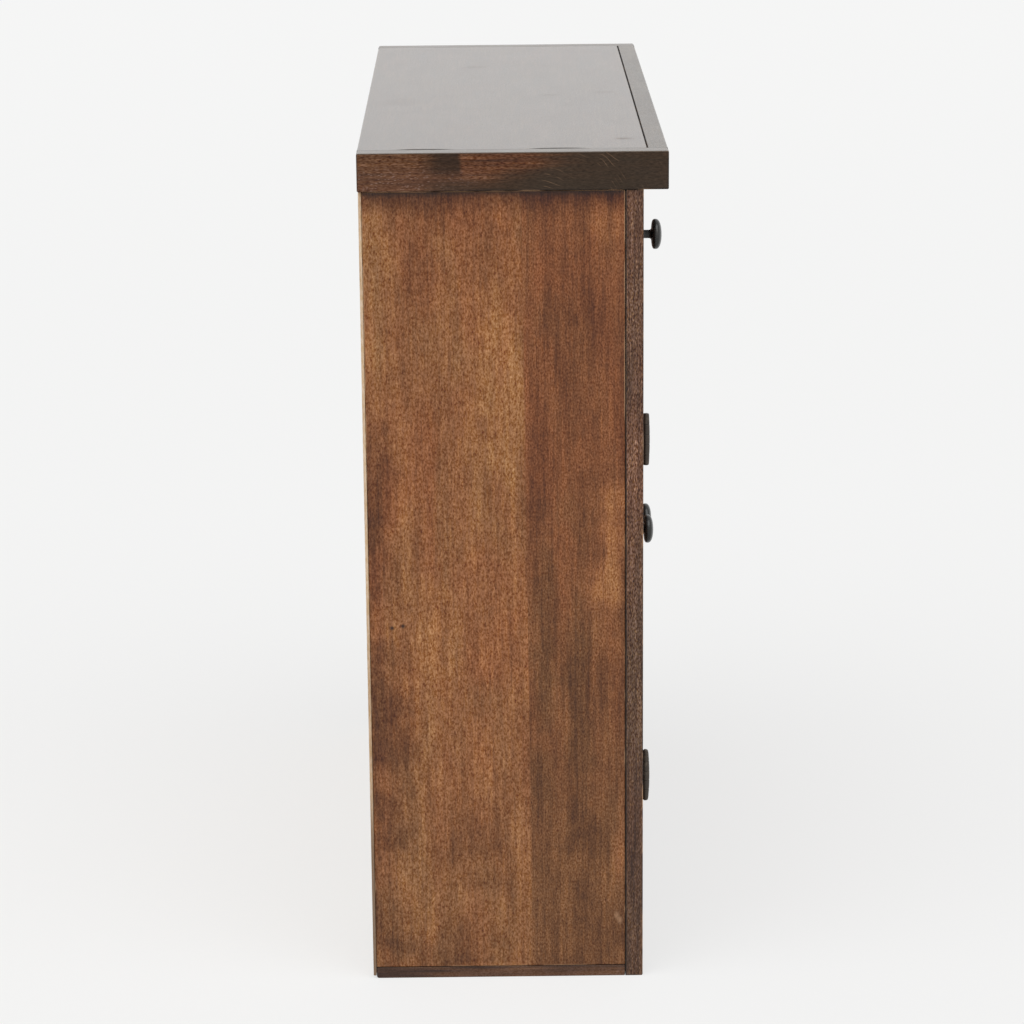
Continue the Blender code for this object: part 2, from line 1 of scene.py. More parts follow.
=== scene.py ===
# %% [markdown]
# # A drawer cabinet, dressed for its portrait
# The cabinet was made first as solid parts: boards, drawers, doors, hinges and knobs. This lesson gives those
# parts their looks. Boards that are right already only get a finish. Pieces that need finer work, such as the
# turned knobs and the hinges, are made anew in the place of the plain ones.

import json
from math import acos, cos, pi, radians, sin

import bmesh
import bpy
from mathutils import Matrix, Vector

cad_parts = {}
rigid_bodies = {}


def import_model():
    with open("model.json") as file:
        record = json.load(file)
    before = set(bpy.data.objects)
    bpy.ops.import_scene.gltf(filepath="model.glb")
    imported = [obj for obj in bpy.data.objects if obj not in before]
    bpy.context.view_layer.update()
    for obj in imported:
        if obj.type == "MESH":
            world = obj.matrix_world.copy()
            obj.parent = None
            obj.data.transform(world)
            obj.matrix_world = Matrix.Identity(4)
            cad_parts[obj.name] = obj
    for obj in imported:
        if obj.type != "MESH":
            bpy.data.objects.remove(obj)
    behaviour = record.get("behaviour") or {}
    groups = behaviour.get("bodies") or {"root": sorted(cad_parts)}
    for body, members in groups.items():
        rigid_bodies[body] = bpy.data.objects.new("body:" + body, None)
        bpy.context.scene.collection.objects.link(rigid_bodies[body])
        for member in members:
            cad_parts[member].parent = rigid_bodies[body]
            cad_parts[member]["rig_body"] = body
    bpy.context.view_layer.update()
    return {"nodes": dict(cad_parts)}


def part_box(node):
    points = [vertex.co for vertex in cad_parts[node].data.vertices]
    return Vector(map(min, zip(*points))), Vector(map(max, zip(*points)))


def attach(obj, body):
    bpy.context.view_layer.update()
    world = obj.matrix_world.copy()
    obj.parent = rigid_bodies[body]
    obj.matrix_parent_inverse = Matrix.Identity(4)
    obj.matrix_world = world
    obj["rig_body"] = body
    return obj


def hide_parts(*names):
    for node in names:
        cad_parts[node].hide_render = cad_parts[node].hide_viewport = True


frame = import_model()
nodes = frame["nodes"]

# %% [markdown]
# ## The camera
# A picture taken with a long lens, almost straight at the cabinet's left side and a little from above. The
# camera's place and turn were worked out from the cabinet's own corners, so that every edge of the render lies
# on the same edge of the picture. A long lens keeps the sides nearly parallel.

# %% Set up the camera
CAMERA_PLACE = (-3.7291, 0.0288, 1.4046)
CAMERA_LENS = 121.206
CAMERA_HEADING = -0.4007
CAMERA_TILT = 15.18
CAMERA_ROLL = -0.506
scene = bpy.context.scene


def add_object(name, data):
    made = bpy.data.objects.new(name, data)
    scene.collection.objects.link(made)
    return made


camera = add_object("camera", bpy.data.cameras.new("camera"))
camera.data.sensor_width = 36.0
camera.data.lens = CAMERA_LENS
camera.data.clip_end = 100.0
heading, tilt = radians(CAMERA_HEADING - 90), radians(90 - CAMERA_TILT)
aim = Matrix.Rotation(heading, 4, "Z") @ Matrix.Rotation(tilt, 4, "X")
camera.matrix_world = Matrix.Translation(CAMERA_PLACE) @ aim @ Matrix.Rotation(radians(CAMERA_ROLL), 4, "Z")
scene.camera = camera
scene.view_settings.view_transform = "Standard"
print("the camera looks along", [round(x, 3) for x in camera.matrix_world.to_3x3() @ Vector((0, 0, -1))])

# %% [markdown]
# ## Recipes
# A material is a net of small nodes, and so is a group that several materials share. `Recipe` adds one node or a
# few per call and hands back the result, so that a recipe reads from top to bottom. `as_seen` turns a colour as
# it looks on a screen, from 0 to 255, into the amount of light that a shader wants.


# %% A helper for recipes
def as_seen(red, green, blue):
    levels = [value / 255 for value in (red, green, blue)]
    return (*[v / 12.92 if v <= 0.04045 else ((v + 0.055) / 1.055) ** 2.4 for v in levels], 1.0)


class Recipe:
    """A net of nodes that is being filled."""

    def __init__(self, tree):
        self.tree = tree

    def feed(self, socket, value):
        if isinstance(value, bpy.types.NodeSocket):
            self.tree.links.new(value, socket)
        else:
            socket.default_value = value

    def node(self, kind, inputs=None, **settings):
        made = self.tree.nodes.new(kind)
        for name, value in settings.items():
            setattr(made, name, value)
        for key, value in (inputs or {}).items():
            self.feed(made.inputs[key], value)
        return made

    def maths(self, operation, *values, kind="ShaderNodeMath"):
        return self.node(kind, dict(enumerate(values)), operation=operation).outputs[0]

    def times(self, product, *factors):
        for factor in factors:
            product = self.maths("MULTIPLY", product, factor)
        return product

    def shift(self, value, mask, amount):
        """The value, with a mask's share of amount added."""
        return self.maths("MULTIPLY_ADD", mask, amount, value)

    def apart(self, value, middle):
        """How far the value lies from the middle, to either side."""
        return self.maths("ABSOLUTE", self.maths("SUBTRACT", value, middle))

    def fade(self, value, start, end, low=0.0, high=1.0):
        """Goes softly from low to high while value goes from start to end."""
        inputs = {"Value": value, "From Min": start, "From Max": end, "To Min": low, "To Max": high}
        return self.node("ShaderNodeMapRange", inputs, interpolation_type="SMOOTHSTEP").outputs[0]

    def vectors(self, operation, *values):
        return self.maths(operation, *values, kind="ShaderNodeVectorMath")

    def length(self, vector):
        return self.vectors("LENGTH", vector).node.outputs["Value"]

    def triple(self, x=0.0, y=0.0, z=0.0):
        return self.node("ShaderNodeCombineXYZ", {0: x, 1: y, 2: z}).outputs[0]

    def parts(self, triple):
        return self.node("ShaderNodeSeparateXYZ", {0: triple}).outputs

    def noise(self, place, scale, detail, **more):
        inputs = {"Vector": place, "Scale": scale, "Detail": detail} | more
        return self.node("ShaderNodeTexNoise", inputs).outputs[0]

    def blend(self, share, first, second, way="MIX"):
        """A share of the second colour over the first."""
        inputs = {"Factor": share, 6: first, 7: second}
        return self.node("ShaderNodeMix", inputs, data_type="RGBA", blend_type=way).outputs[2]

    def use(self, group, **inputs):
        """The result of a shared group, whose inputs are fed by name."""
        return self.node("ShaderNodeGroup", inputs, node_tree=group).outputs[0]


# %% [markdown]
# ## The studio
# A white floor that runs on to the horizon, a white world and two broad lamps, one on each side of the camera.
# The lamps stand far away and high, so that the shadows are soft and fall behind the cabinet. Seen straight
# or in a mirror, the floor glows a little: it stays nearly white under the cabinet, as a studio's paper does.

# %% Lay the floor
FLOOR_REACH = 40.0
FLOOR_WHITE = (0.90, 0.905, 0.90, 1.0)
PAPER_GLOW_WHITE = (1.0, 1.0, 0.997, 1.0)
PAPER_NEAR, PAPER_NEAR_LEVEL = 1.5, 0.905
PAPER_FAR, PAPER_FAR_LEVEL = 8.0, 0.925
PAPER_GLOW = 0.72


def seen_straight_or_mirrored(recipe):
    path = recipe.node("ShaderNodeLightPath").outputs
    seen = recipe.maths("MAXIMUM", path["Is Camera Ray"], path["Is Glossy Ray"])
    return recipe.maths("MAXIMUM", seen, path["Is Transmission Ray"])


def as_mesh(name, shape):
    """The finished mesh of a shape under work."""
    mesh = bpy.data.meshes.new(name)
    shape.to_mesh(mesh)
    shape.free()
    return mesh


shape = bmesh.new()
bmesh.ops.create_grid(shape, x_segments=1, y_segments=1, size=FLOOR_REACH)
floor = add_object("floor", as_mesh("floor", shape))

paper = bpy.data.materials.new("studio_paper")
paper.use_nodes = True
paper.node_tree.nodes.clear()
recipe = Recipe(paper.node_tree)
away = recipe.length(recipe.node("ShaderNodeTexCoord").outputs["Object"])
white = recipe.fade(away, PAPER_NEAR, PAPER_FAR, PAPER_NEAR_LEVEL, PAPER_FAR_LEVEL)
glow = recipe.node("ShaderNodeEmission", {"Color": PAPER_GLOW_WHITE, "Strength": white})
matt = recipe.node("ShaderNodeBsdfDiffuse", {"Color": FLOOR_WHITE})
share = recipe.times(seen_straight_or_mirrored(recipe), PAPER_GLOW)
both = recipe.node("ShaderNodeMixShader", {0: share, 1: matt.outputs[0], 2: glow.outputs[0]})
recipe.node("ShaderNodeOutputMaterial", {"Surface": both.outputs[0]})
floor.data.materials.append(paper)

# %% Light the studio
WORLD_WHITE = (1.0, 1.0, 1.0, 1.0)
WORLD_LEVEL = 0.42
MIRRORED_WORLD = 0.92
LAMP_STRENGTH = 1.1
LAMP_SOFTNESS = 50
LAMP_HEIGHT = 55
LAMP_BEARINGS = {"lamp_front_left": 45, "lamp_rear_left": 135}

world = bpy.data.worlds.new("studio_world")
world.use_nodes = True
world.node_tree.nodes.clear()
scene.world = world
recipe = Recipe(world.node_tree)
level = recipe.shift(WORLD_LEVEL, seen_straight_or_mirrored(recipe), MIRRORED_WORLD - WORLD_LEVEL)
sky = recipe.node("ShaderNodeBackground", {"Color": WORLD_WHITE, "Strength": level})
recipe.node("ShaderNodeOutputWorld", {"Surface": sky.outputs[0]})

for name, bearing in LAMP_BEARINGS.items():
    lamp = add_object(name, bpy.data.lights.new(name, "SUN"))
    lamp.data.energy = LAMP_STRENGTH
    lamp.data.angle = radians(LAMP_SOFTNESS)
    turn, rise = radians(bearing), radians(LAMP_HEIGHT)
    towards = Vector((-sin(turn) * cos(rise), -cos(turn) * cos(rise), sin(rise)))
    lamp.rotation_mode = "QUATERNION"
    lamp.rotation_quaternion = towards.to_track_quat("Z", "Y")
print("lit by the world and", len(LAMP_BEARINGS), "lamps")

# %% [markdown]
# ## Effects that the woods share
# Stained wood shows the same few things at many sizes: streaks along the grain, short dark pores, clouds where
# the stain sank in unevenly, and edges that hands have rubbed. Each is one shader group with named inputs.
# Every board then places them with its own values.

# %% Start a shared group
ORIGIN = (0.0, 0.0, 0.0)


class Effect(Recipe):
    """A shader group. Each input is a number or a triple, and the value named here is its default."""

    def __init__(self, name, **inputs):
        super().__init__(bpy.data.node_groups.new(name, "ShaderNodeTree"))
        for label, value in inputs.items():
            kind = "NodeSocketFloat" if isinstance(value, float) else "NodeSocketVector"
            socket = self.tree.interface.new_socket(label, in_out="INPUT", socket_type=kind)
            socket.default_value = value
        self.tree.interface.new_socket("Value", in_out="OUTPUT", socket_type="NodeSocketFloat")
        self.given = self.node("NodeGroupInput").outputs

    def give(self, value):
        """Ends the group with its result."""
        self.node("NodeGroupOutput", {0: value})
        return self.tree


# %% Streaks along the grain
# Place has its Z along the grain. Stretch says how many times longer a streak is than wide.
def drawn_out(effect):
    """The place and the scale for a pattern that is Width wide and Stretch times as long."""
    lengthwise = effect.triple(1.0, 1.0, effect.maths("DIVIDE", 1.0, effect.given["Stretch"]))
    place = effect.vectors("MULTIPLY", effect.given["Place"], lengthwise)
    return place, effect.maths("DIVIDE", 1.0, effect.given["Width"])


effect = Effect("streaks", Place=ORIGIN, Width=0.01, Stretch=8.0, Detail=2.0, Wander=0.3)
given = effect.given
noise = effect.noise(*drawn_out(effect), given["Detail"], Roughness=0.55, Distortion=given["Wander"])
streaks = effect.give(effect.maths("SUBTRACT", noise, 0.5))

# %% Pores
# Short dashes, each in its own cell; Share says how many of the cells hold one.
effect = Effect("pores", Place=ORIGIN, Width=0.002, Stretch=5.0, Share=0.5)
place, scale = drawn_out(effect)
cells = effect.node("ShaderNodeTexVoronoi", {"Vector": place, "Scale": scale}).outputs
dash = effect.fade(cells["Distance"], 0.45, 0.15)
lot = effect.node("ShaderNodeSeparateColor", {0: cells["Color"]}).outputs[0]
pores = effect.give(effect.times(dash, effect.maths("LESS_THAN", lot, effect.given["Share"])))

# %% A soft patch
# A cloud of one place: 1 at its centre, 0 beyond its reach. Rim is a noise that makes its outline ragged.
effect = Effect("soft_patch", Place=ORIGIN, Centre=ORIGIN, Reach=(0.1, 0.1, 0.1), Rim=0.0)
given = effect.given
offset = effect.vectors("SUBTRACT", given["Place"], given["Centre"])
span = effect.length(effect.vectors("DIVIDE", offset, given["Reach"]))
soft_patch = effect.give(effect.fade(effect.maths("ADD", span, given["Rim"]), 1.15, 0.1))

# %% How far the nearest edge of a board is
# Of the distances to a box's three pairs of faces, one is nought on its surface, and the middle one counts.
effect = Effect("edge_distance", Place=ORIGIN, Low=ORIGIN, High=(1.0, 1.0, 1.0))
given = effect.given
from_low = effect.vectors("SUBTRACT", given["Place"], given["Low"])
from_high = effect.vectors("SUBTRACT", given["High"], given["Place"])
nearest = effect.vectors("ABSOLUTE", effect.vectors("MINIMUM", from_low, from_high))
one, two, three = effect.parts(nearest)
wider = effect.maths("MINIMUM", effect.maths("MAXIMUM", one, two), three)
edge_distance = effect.give(effect.maths("MAXIMUM", effect.maths("MINIMUM", one, two), wider))

# %% Scratches from a wiping hand
# A hand wipes in arcs, so fine scratches lie on rings round one centre, at uneven distances and in short runs.
effect = Effect("wiped_scratches", Place=ORIGIN, Centre=ORIGIN, Spacing=0.0050, Width=0.0004)
given = effect.given
reach = effect.length(effect.vectors("SUBTRACT", given["Place"], given["Centre"]))
uneven = effect.noise(given["Place"], 34.0, 1.0)
ring = effect.maths("FRACT", effect.shift(effect.maths("DIVIDE", reach, given["Spacing"]), uneven, 2.5))
line = effect.fade(effect.times(effect.apart(ring, 0.5), given["Spacing"]), given["Width"], 0.0)
runs = effect.fade(effect.noise(given["Place"], 38.0, 2.0), 0.54, 0.66)
wiped_scratches = effect.give(effect.times(line, runs))

# %% Rubbed edges
# Hands and cloths take the stain off an edge in stretches, never in an even line.
effect = Effect("rubbed_edges", Place=ORIGIN, Edge=1.0, Width=0.0012, Share=0.5)
given = effect.given
patches = effect.noise(given["Place"], 35.0, 4.0)
rubbed = effect.fade(effect.maths("ADD", patches, given["Share"]), 0.9, 1.15)
near = effect.fade(effect.maths("DIVIDE", given["Edge"], given["Width"]), 1.0, 0.3)
rubbed_edges = effect.give(effect.times(rubbed, near))
print("shared groups:", sorted(group.name for group in bpy.data.node_groups))

# %% [markdown]
# ## A board and its finish
# Every board gets a material of its own, since the stain sinks in differently from board to board and its edges
# lie elsewhere. `Grain` starts one: it finds the board's box, turns the pattern so that the grain runs along the
# board and shifts it, so that no two boards show the same streaks. It keeps two numbers for every spot: `tone`
# says how light the wood is, round a half, and `warm` how red the stain has turned. `Board` makes the colour of
# them, lays speckle, dirt, wear and painted shade over it, and ends with the sheen.

# %% Lay out a board's grain
GRAIN_TURNS = {"X": (1, 2, 0), "Y": (2, 0, 1), "Z": (0, 1, 2)}
GRAIN_LOTS = 97
GRAIN_SHIFT = (3.1, 5.3, 7.7)
LINE_WIDTH = 0.0024


class Grain(Recipe):
    """The pattern of one board, whose grain runs along X, Y or Z."""

    def __init__(self, name, along):
        self.name = name
        self.low, self.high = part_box(name)
        self.material = bpy.data.materials.new(f"{name}_finish")
        self.material.use_nodes = True
        super().__init__(self.material.node_tree)
        self.place = self.node("ShaderNodeTexCoord").outputs["Object"]
        places = self.x, self.y, self.z = tuple(self.parts(self.place))
        lot = sum(place * letter for place, letter in enumerate(name.encode(), 1)) % GRAIN_LOTS / GRAIN_LOTS
        turned = self.triple(*[places[axis] for axis in GRAIN_TURNS[along]])
        self.grain = self.vectors("ADD", turned, tuple(lot * shift for shift in GRAIN_SHIFT))
        self.edge = self.use(edge_distance, Place=self.place, Low=self.low, High=self.high)
        axis = "XYZ".index(along)
        middle, half = (self.low[axis] + self.high[axis]) / 2, (self.high[axis] - self.low[axis]) / 2
        self.end = self.maths("SUBTRACT", half, self.apart(places[axis], middle))
        self.rim = self.times(self.maths("SUBTRACT", self.noise(self.grain, 24.0, 3.0), 0.5), 2.2)
        self.tone = self.warm = 0.5

    def streak(self, width, stretch, detail=2.0, wander=0.3):
        return self.use(streaks, Place=self.grain, Width=width, Stretch=stretch, Detail=detail, Wander=wander)

    def patch(self, centre, reach):
        return self.use(soft_patch, Place=self.place, Centre=centre, Reach=reach, Rim=self.rim)

    def lighten(self, mask, amount):
        self.tone = self.shift(self.tone, mask, amount)

    def redden(self, mask, amount):
        self.warm = self.shift(self.warm, mask, amount)

    def draw(self, middle=0.5, clouds=0.8, cloud_width=0.050, figure=0.6, figure_width=0.010, lines=0.7):
        """Broad clouds, figure and lines round the middle."""
        self.tone = middle
        self.lighten(self.streak(cloud_width, 4.0, wander=0.8), clouds)
        self.lighten(self.streak(figure_width, 11.0, wander=0.4), figure)
        self.lighten(self.streak(LINE_WIDTH, 30.0, wander=0.2), lines)

    def warm_up(self, amount=1.3, width=0.045):
        """Soft clouds in which the stain turns from olive, at 0, to red, at 1."""
        self.redden(self.streak(width, 3.5, detail=1.0, wander=1.0), amount)


# %% Colour a board
# Dark brown: dirt at edges and seams, and also painted shade under the top and in the groove beside the stiles.
DIRT_AND_SHADE = as_seen(24, 18, 14)
PALE_WOOD = as_seen(186, 146, 112)
OLIVE = (0.96, 1.03, 1.05, 1.0)
RED = (1.09, 0.92, 0.87, 1.0)
SHEEN = 0.020
LIGHT_KEPT = 0.95
# The speckle moves blue more than red: it leaves pale spots paler and dark ones browner.
SPECKLE_TINT = (0.8, 1.2, 2.2)
FLECK_TINT = (0.85, 1.1, 1.15)
UNCHANGED = (1.0, 1.0, 1.0)
DARKEST = (0.15, 0.15, 0.15)
PORE_WIDTH = 0.0011
RELIEF_DEPTH = 0.0004


def beneath(red, green, blue):
    """The colour that looks like this once the white room's sheen lies over it."""
    return (*[max((value - SHEEN) / LIGHT_KEPT, 0.003) for value in as_seen(red, green, blue)[:3]], 1.0)


class Board(Grain):
    """The finish of one board."""

    def stain(self, colours, speckle=2.6, fine=0.0012, stretch=1.5, flecks=0.3, shares=(0.0, 0.5, 1.0)):
        """Colours the board by its tone, from dark to light, and lays speckle, pale flecks and pores over it."""
        self.lighten(self.fade(self.end, 0.0009, 0.0002), -0.3)
        ramp = self.node("ShaderNodeValToRGB", {0: self.tone})
        while len(ramp.color_ramp.elements) < len(colours):
            ramp.color_ramp.elements.new(1.0)
        for stop, share, colour in zip(ramp.color_ramp.elements, shares, colours):
            stop.position, stop.color = share, colour
        tint = self.blend(self.maths("MINIMUM", self.maths("MAXIMUM", self.warm, 0.0), 1.0), OLIVE, RED)
        self.speck = self.streak(fine, stretch, detail=1.0, wander=0.0)
        aside = self.vectors("ADD", self.grain, (0.5, 0.5, 0.5))
        pale = self.times(self.use(pores, Place=aside, Width=PORE_WIDTH, Stretch=4.0, Share=0.3), flecks)
        gain = self.vectors("MULTIPLY_ADD", pale, FLECK_TINT, UNCHANGED)
        gain = self.vectors("MULTIPLY_ADD", self.times(self.speck, speckle), SPECKLE_TINT, gain)
        colour = self.vectors("MULTIPLY", ramp.outputs[0], tint)
        colour = self.vectors("MULTIPLY", colour, self.vectors("MAXIMUM", gain, DARKEST))
        self.dashes = self.use(pores, Place=self.grain, Width=PORE_WIDTH, Stretch=10.0, Share=0.15)
        self.colour = self.blend(self.times(self.dashes, 0.25), colour, colours[0])

    def cover(self, mask, colour, share=1.0):
        """Lays a share of another colour over the board where the mask is."""
        self.colour = self.blend(self.times(mask, share), self.colour, colour)

    def grime(self, share, width):
        self.cover(self.fade(self.edge, width, 0.0), DIRT_AND_SHADE, share)

    def rub(self, share):
        self.cover(self.use(rubbed_edges, Place=self.place, Edge=self.edge, Share=share), PALE_WOOD)

    def finish(self, roughness=0.48, relief=0.3, smudge=0.30, coat=0.0, bare=None):
        """Sheen and relief. coat is how much varnish lies on top, and bare is where there is none."""
        shader = self.tree.nodes["Principled BSDF"].inputs
        sheen = self.shift(self.shift(roughness, self.speck, -0.25), self.streak(0.030, 2.0), smudge)
        if bare is not None:
            sheen = self.shift(sheen, bare, 0.4)
            coat = self.times(self.maths("SUBTRACT", 1.0, bare), coat)
        height = self.shift(self.speck, self.dashes, -0.5)
        bump = self.node("ShaderNodeBump", {"Strength": relief, "Distance": RELIEF_DEPTH, "Height": height})
        shader["Specular IOR Level"].default_value = 0.35
        shader["Coat Roughness"].default_value = 0.25
        self.feed(shader["Base Color"], self.colour)
        self.feed(shader["Roughness"], sheen)
        self.feed(shader["Normal"], bump.outputs["Normal"])
        self.feed(shader["Coat Weight"], coat)
        paint(dressed[self.name], self.material)


# %% [markdown]
# ## Boards with softer edges
# A real board has no sharp edge: the maker takes it off, and years of use round it further. The top, the
# stiles at the corners and the runners at the floor show this most, so they are made anew. Each board starts as
# a box whose edges carry their own radius as a bevel weight. The Bevel modifier then rounds them all at once.

# %% Helpers for new pieces
dressed = dict(nodes)


def paint(piece, material):
    """Gives the material to a piece, in all of its slots."""
    if not piece.material_slots:
        piece.data.materials.append(None)
    for held in piece.material_slots:
        held.material = material


def settle(piece):
    """Makes what the modifiers show the piece's own plain mesh, and takes the modifiers off."""
    bpy.context.view_layer.update()
    shown = piece.evaluated_get(bpy.context.evaluated_depsgraph_get())
    mesh = bpy.data.meshes.new_from_object(shown)
    piece.modifiers.clear()
    piece.data = mesh
    return piece


def stand_for(piece, name):
    """The piece takes the place of this solid part, moves with its body and gets any finish later made for that
    part.
    """
    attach(piece, nodes[name]["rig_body"])
    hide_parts(name)
    dressed[name] = piece


def fasten(piece, body):
    """A small new piece that moves with a body."""
    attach(piece, body)


def box_mesh(name, low, high):
    shape = bmesh.new()
    size = Vector(high) - Vector(low)
    middle = (Vector(high) + Vector(low)) / 2
    bmesh.ops.create_cube(shape, size=1.0, matrix=Matrix.Translation(middle) @ Matrix.Diagonal((*size, 1.0)))
    return as_mesh(name, shape)


def carve(piece, low, high):
    """Takes a box out of a piece. The box is handed back, to be removed once the piece is settled."""
    cutter = add_object("hollow", box_mesh("hollow", low, high))
    cut = piece.modifiers.new("hollow", "BOOLEAN")
    cut.operation, cut.object, cut.solver = "DIFFERENCE", cutter, "EXACT"
    return cutter


# %% Round the edges of a board
ROUNDING_STEPS = 4


def edge_name(edge, middle, size):
    """Names an edge after the two faces that it joins, such as -y-z for the lower edge of the front."""
    place = (edge.verts[0].co + edge.verts[1].co) / 2 - middle
    shares = [value / length for value, length in zip(place, size)]
    return "".join(("-" if share < 0 else "+") + axis for axis, share in zip("xyz", shares) if abs(share) > 0.1)


def rounded_board(name, low, high, radius, special=None, hollows=()):
    """A board with rounded edges. special gives other radii by edge name, and hollows are boxes to take out."""
    special = special or {}
    piece = add_object(name, box_mesh(name, low, high))
    widest = max([radius, *special.values()])
    middle, size = (Vector(low) + Vector(high)) / 2, Vector(high) - Vector(low)
    shape = bmesh.new()
    shape.from_mesh(piece.data)
    weights = shape.edges.layers.float.new("bevel_weight_edge")
    for edge in shape.edges:
        edge[weights] = special.get(edge_name(edge, middle, size), radius) / widest
    shape.to_mesh(piece.data)
    shape.free()
    cutters = [carve(piece, *hollow) for hollow in hollows]
    rounding = piece.modifiers.new("rounding", "BEVEL")
    rounding.limit_method, rounding.width, rounding.segments = "WEIGHT", widest, ROUNDING_STEPS
    rounding.harden_normals = True
    settle(piece)
    for cutter in cutters:
        bpy.data.objects.remove(cutter)
    return piece


# %% Make the corner stiles and the floor runners
SOFT_EDGE = 0.0012
FOOT_ROUNDING = 0.0038
RUNNER_EDGE = 0.0010
RUNNER_ROUNDING = 0.0030
FACE_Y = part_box("frame_stile_left")[0].y
LEAF_RECESS = 0.00065
LEAF_DEPTH = 0.014
LEAF_HEIGHT = 0.052
FITTING_GAP = 0.0003
PAST_FACE = 0.002
SIDES = {"left": -1, "right": 1}


def middle_of(name):
    return [(low + high) / 2 for low, high in zip(*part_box(name))]


def hinge_middles(name):
    """The heights of the two hinges on one side."""
    return [middle_of(f"hinge_{name}_{level}_frame_leaf")[2] for level in ("lower", "upper")]


for name, side in SIDES.items():
    low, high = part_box(f"frame_stile_{name}")
    inner_x = high.x if side < 0 else low.x
    near, far = sorted((inner_x - side * PAST_FACE, inner_x + side * LEAF_RECESS))
    reach, rear = LEAF_HEIGHT / 2 + FITTING_GAP, FACE_Y + LEAF_DEPTH + FITTING_GAP
    hollows = [((near, FACE_Y - PAST_FACE, z - reach), (far, rear, z + reach)) for z in hinge_middles(name)]
    stile = rounded_board(f"stile_{name}", low, high, SOFT_EDGE, {"-y-z": FOOT_ROUNDING}, hollows)
    stand_for(stile, f"frame_stile_{name}")
    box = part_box(f"base_runner_{name}")
    runner = rounded_board(f"runner_{name}", *box, RUNNER_EDGE, {"+y-z": RUNNER_ROUNDING})
    stand_for(runner, f"base_runner_{name}")
print("stiles and runners are rounded by up to", FOOT_ROUNDING, "m")

# %% Make the top
SEAM_EDGE = 0.0009
TIGHT_EDGE = 0.0002
TOP_EDGE = 0.0020
CRISP_EDGE = 0.0010
CORNER_EDGE = 0.0026
ends = {f"{x}x{y}": TIGHT_EDGE for x in "-+" for y in ("-y", "+y", "-z", "+z")}
panel_edges = ends | {"-y+z": SEAM_EDGE, "+y+z": TOP_EDGE}
strip_edges = ends | {"+y+z": SEAM_EDGE, "-y+z": TOP_EDGE, "-y-z": SOFT_EDGE}
top_board = rounded_board("top_board", *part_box("top_panel"), SOFT_EDGE, panel_edges)
stand_for(top_board, "top_panel")
lip = rounded_board("top_lip_front", *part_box("top_strip_front"), SOFT_EDGE, strip_edges)
stand_for(lip, "top_strip_front")
for name, out, inward in (("left", "-x", "+x"), ("right", "+x", "-x")):
    lip_edges = {f"{out}+z": CRISP_EDGE, "-y+z": TOP_EDGE, "+y+z": TOP_EDGE, f"{inward}+z": TIGHT_EDGE}
    lip_edges |= {f"{out}-y": CORNER_EDGE, f"{out}+y": CORNER_EDGE}
    lip = rounded_board(f"top_lip_{name}", *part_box(f"top_strip_{name}"), SOFT_EDGE, lip_edges)
    stand_for(lip, f"top_strip_{name}")
print("the top's outer edges are rounded by", TOP_EDGE, "m")

# %% [markdown]
# ## Knobs
# Four knobs of black iron, each turned to one outline: a shallow dome, a rim, a flat underside, a neck that
# flares into a foot, and a stud in the wood. On a lathe the outline would be cut from a spinning bar. Here half of
# the section is written down as radius and height, and swept round in small steps.

# %% Turn a round piece
KNOB_SIDES = 72
SHARP_ANGLE = radians(38)


def turned(name, outline, sides):
    """A round piece about Z. The outline starts and ends on the axis."""
    shape = bmesh.new()
    rings = []
    for radius, height in outline:
        turns = [2 * pi * step / sides for step in range(sides)] if radius else [0.0]
        rings.append([shape.verts.new((radius * cos(turn), radius * sin(turn), height)) for turn in turns])
    for upper, lower in zip(rings, rings[1:]):
        for step in range(sides):
            corners = [upper[step % len(upper)], upper[(step + 1) % sides % len(upper)]]
            corners += [lower[(step + 1) % sides % len(lower)], lower[step % len(lower)]]
            shape.faces.new(dict.fromkeys(corners))
    bmesh.ops.recalc_face_normals(shape, faces=shape.faces)
    for face in shape.faces:
        face.smooth = True
    for edge in shape.edges:
        edge.smooth = edge.calc_face_angle() < SHARP_ANGLE
    return as_mesh(name, shape)


# %% Turn the knobs
KNOB_RADIUS = 0.01575
KNOB_HEIGHT = 0.0280
CROWN_HEIGHT = 0.0062
CROWN_FULLNESS = 2.3
UNDERSIDE_HEIGHT = 0.0046
UNDERSIDE_FULLNESS = 3.4
FILLET = 0.0024
FILLET_STEPS = 6
NECK_RADIUS = 0.0044
FLARE_HEIGHT = 0.0070
FOOT_RADIUS = 0.0080
FOOT_HEIGHT = 0.0020
FOOT_EDGE = 0.0003
STUD_RADIUS = 0.0020
STUD_LENGTH = 0.0120


def bulge(turn, radius, height, fullness):
    """A point of a fuller quarter circle: fullness 2 is round, and more is squarer."""
    return radius * cos(turn) ** (2 / fullness), height * sin(turn) ** (2 / fullness)


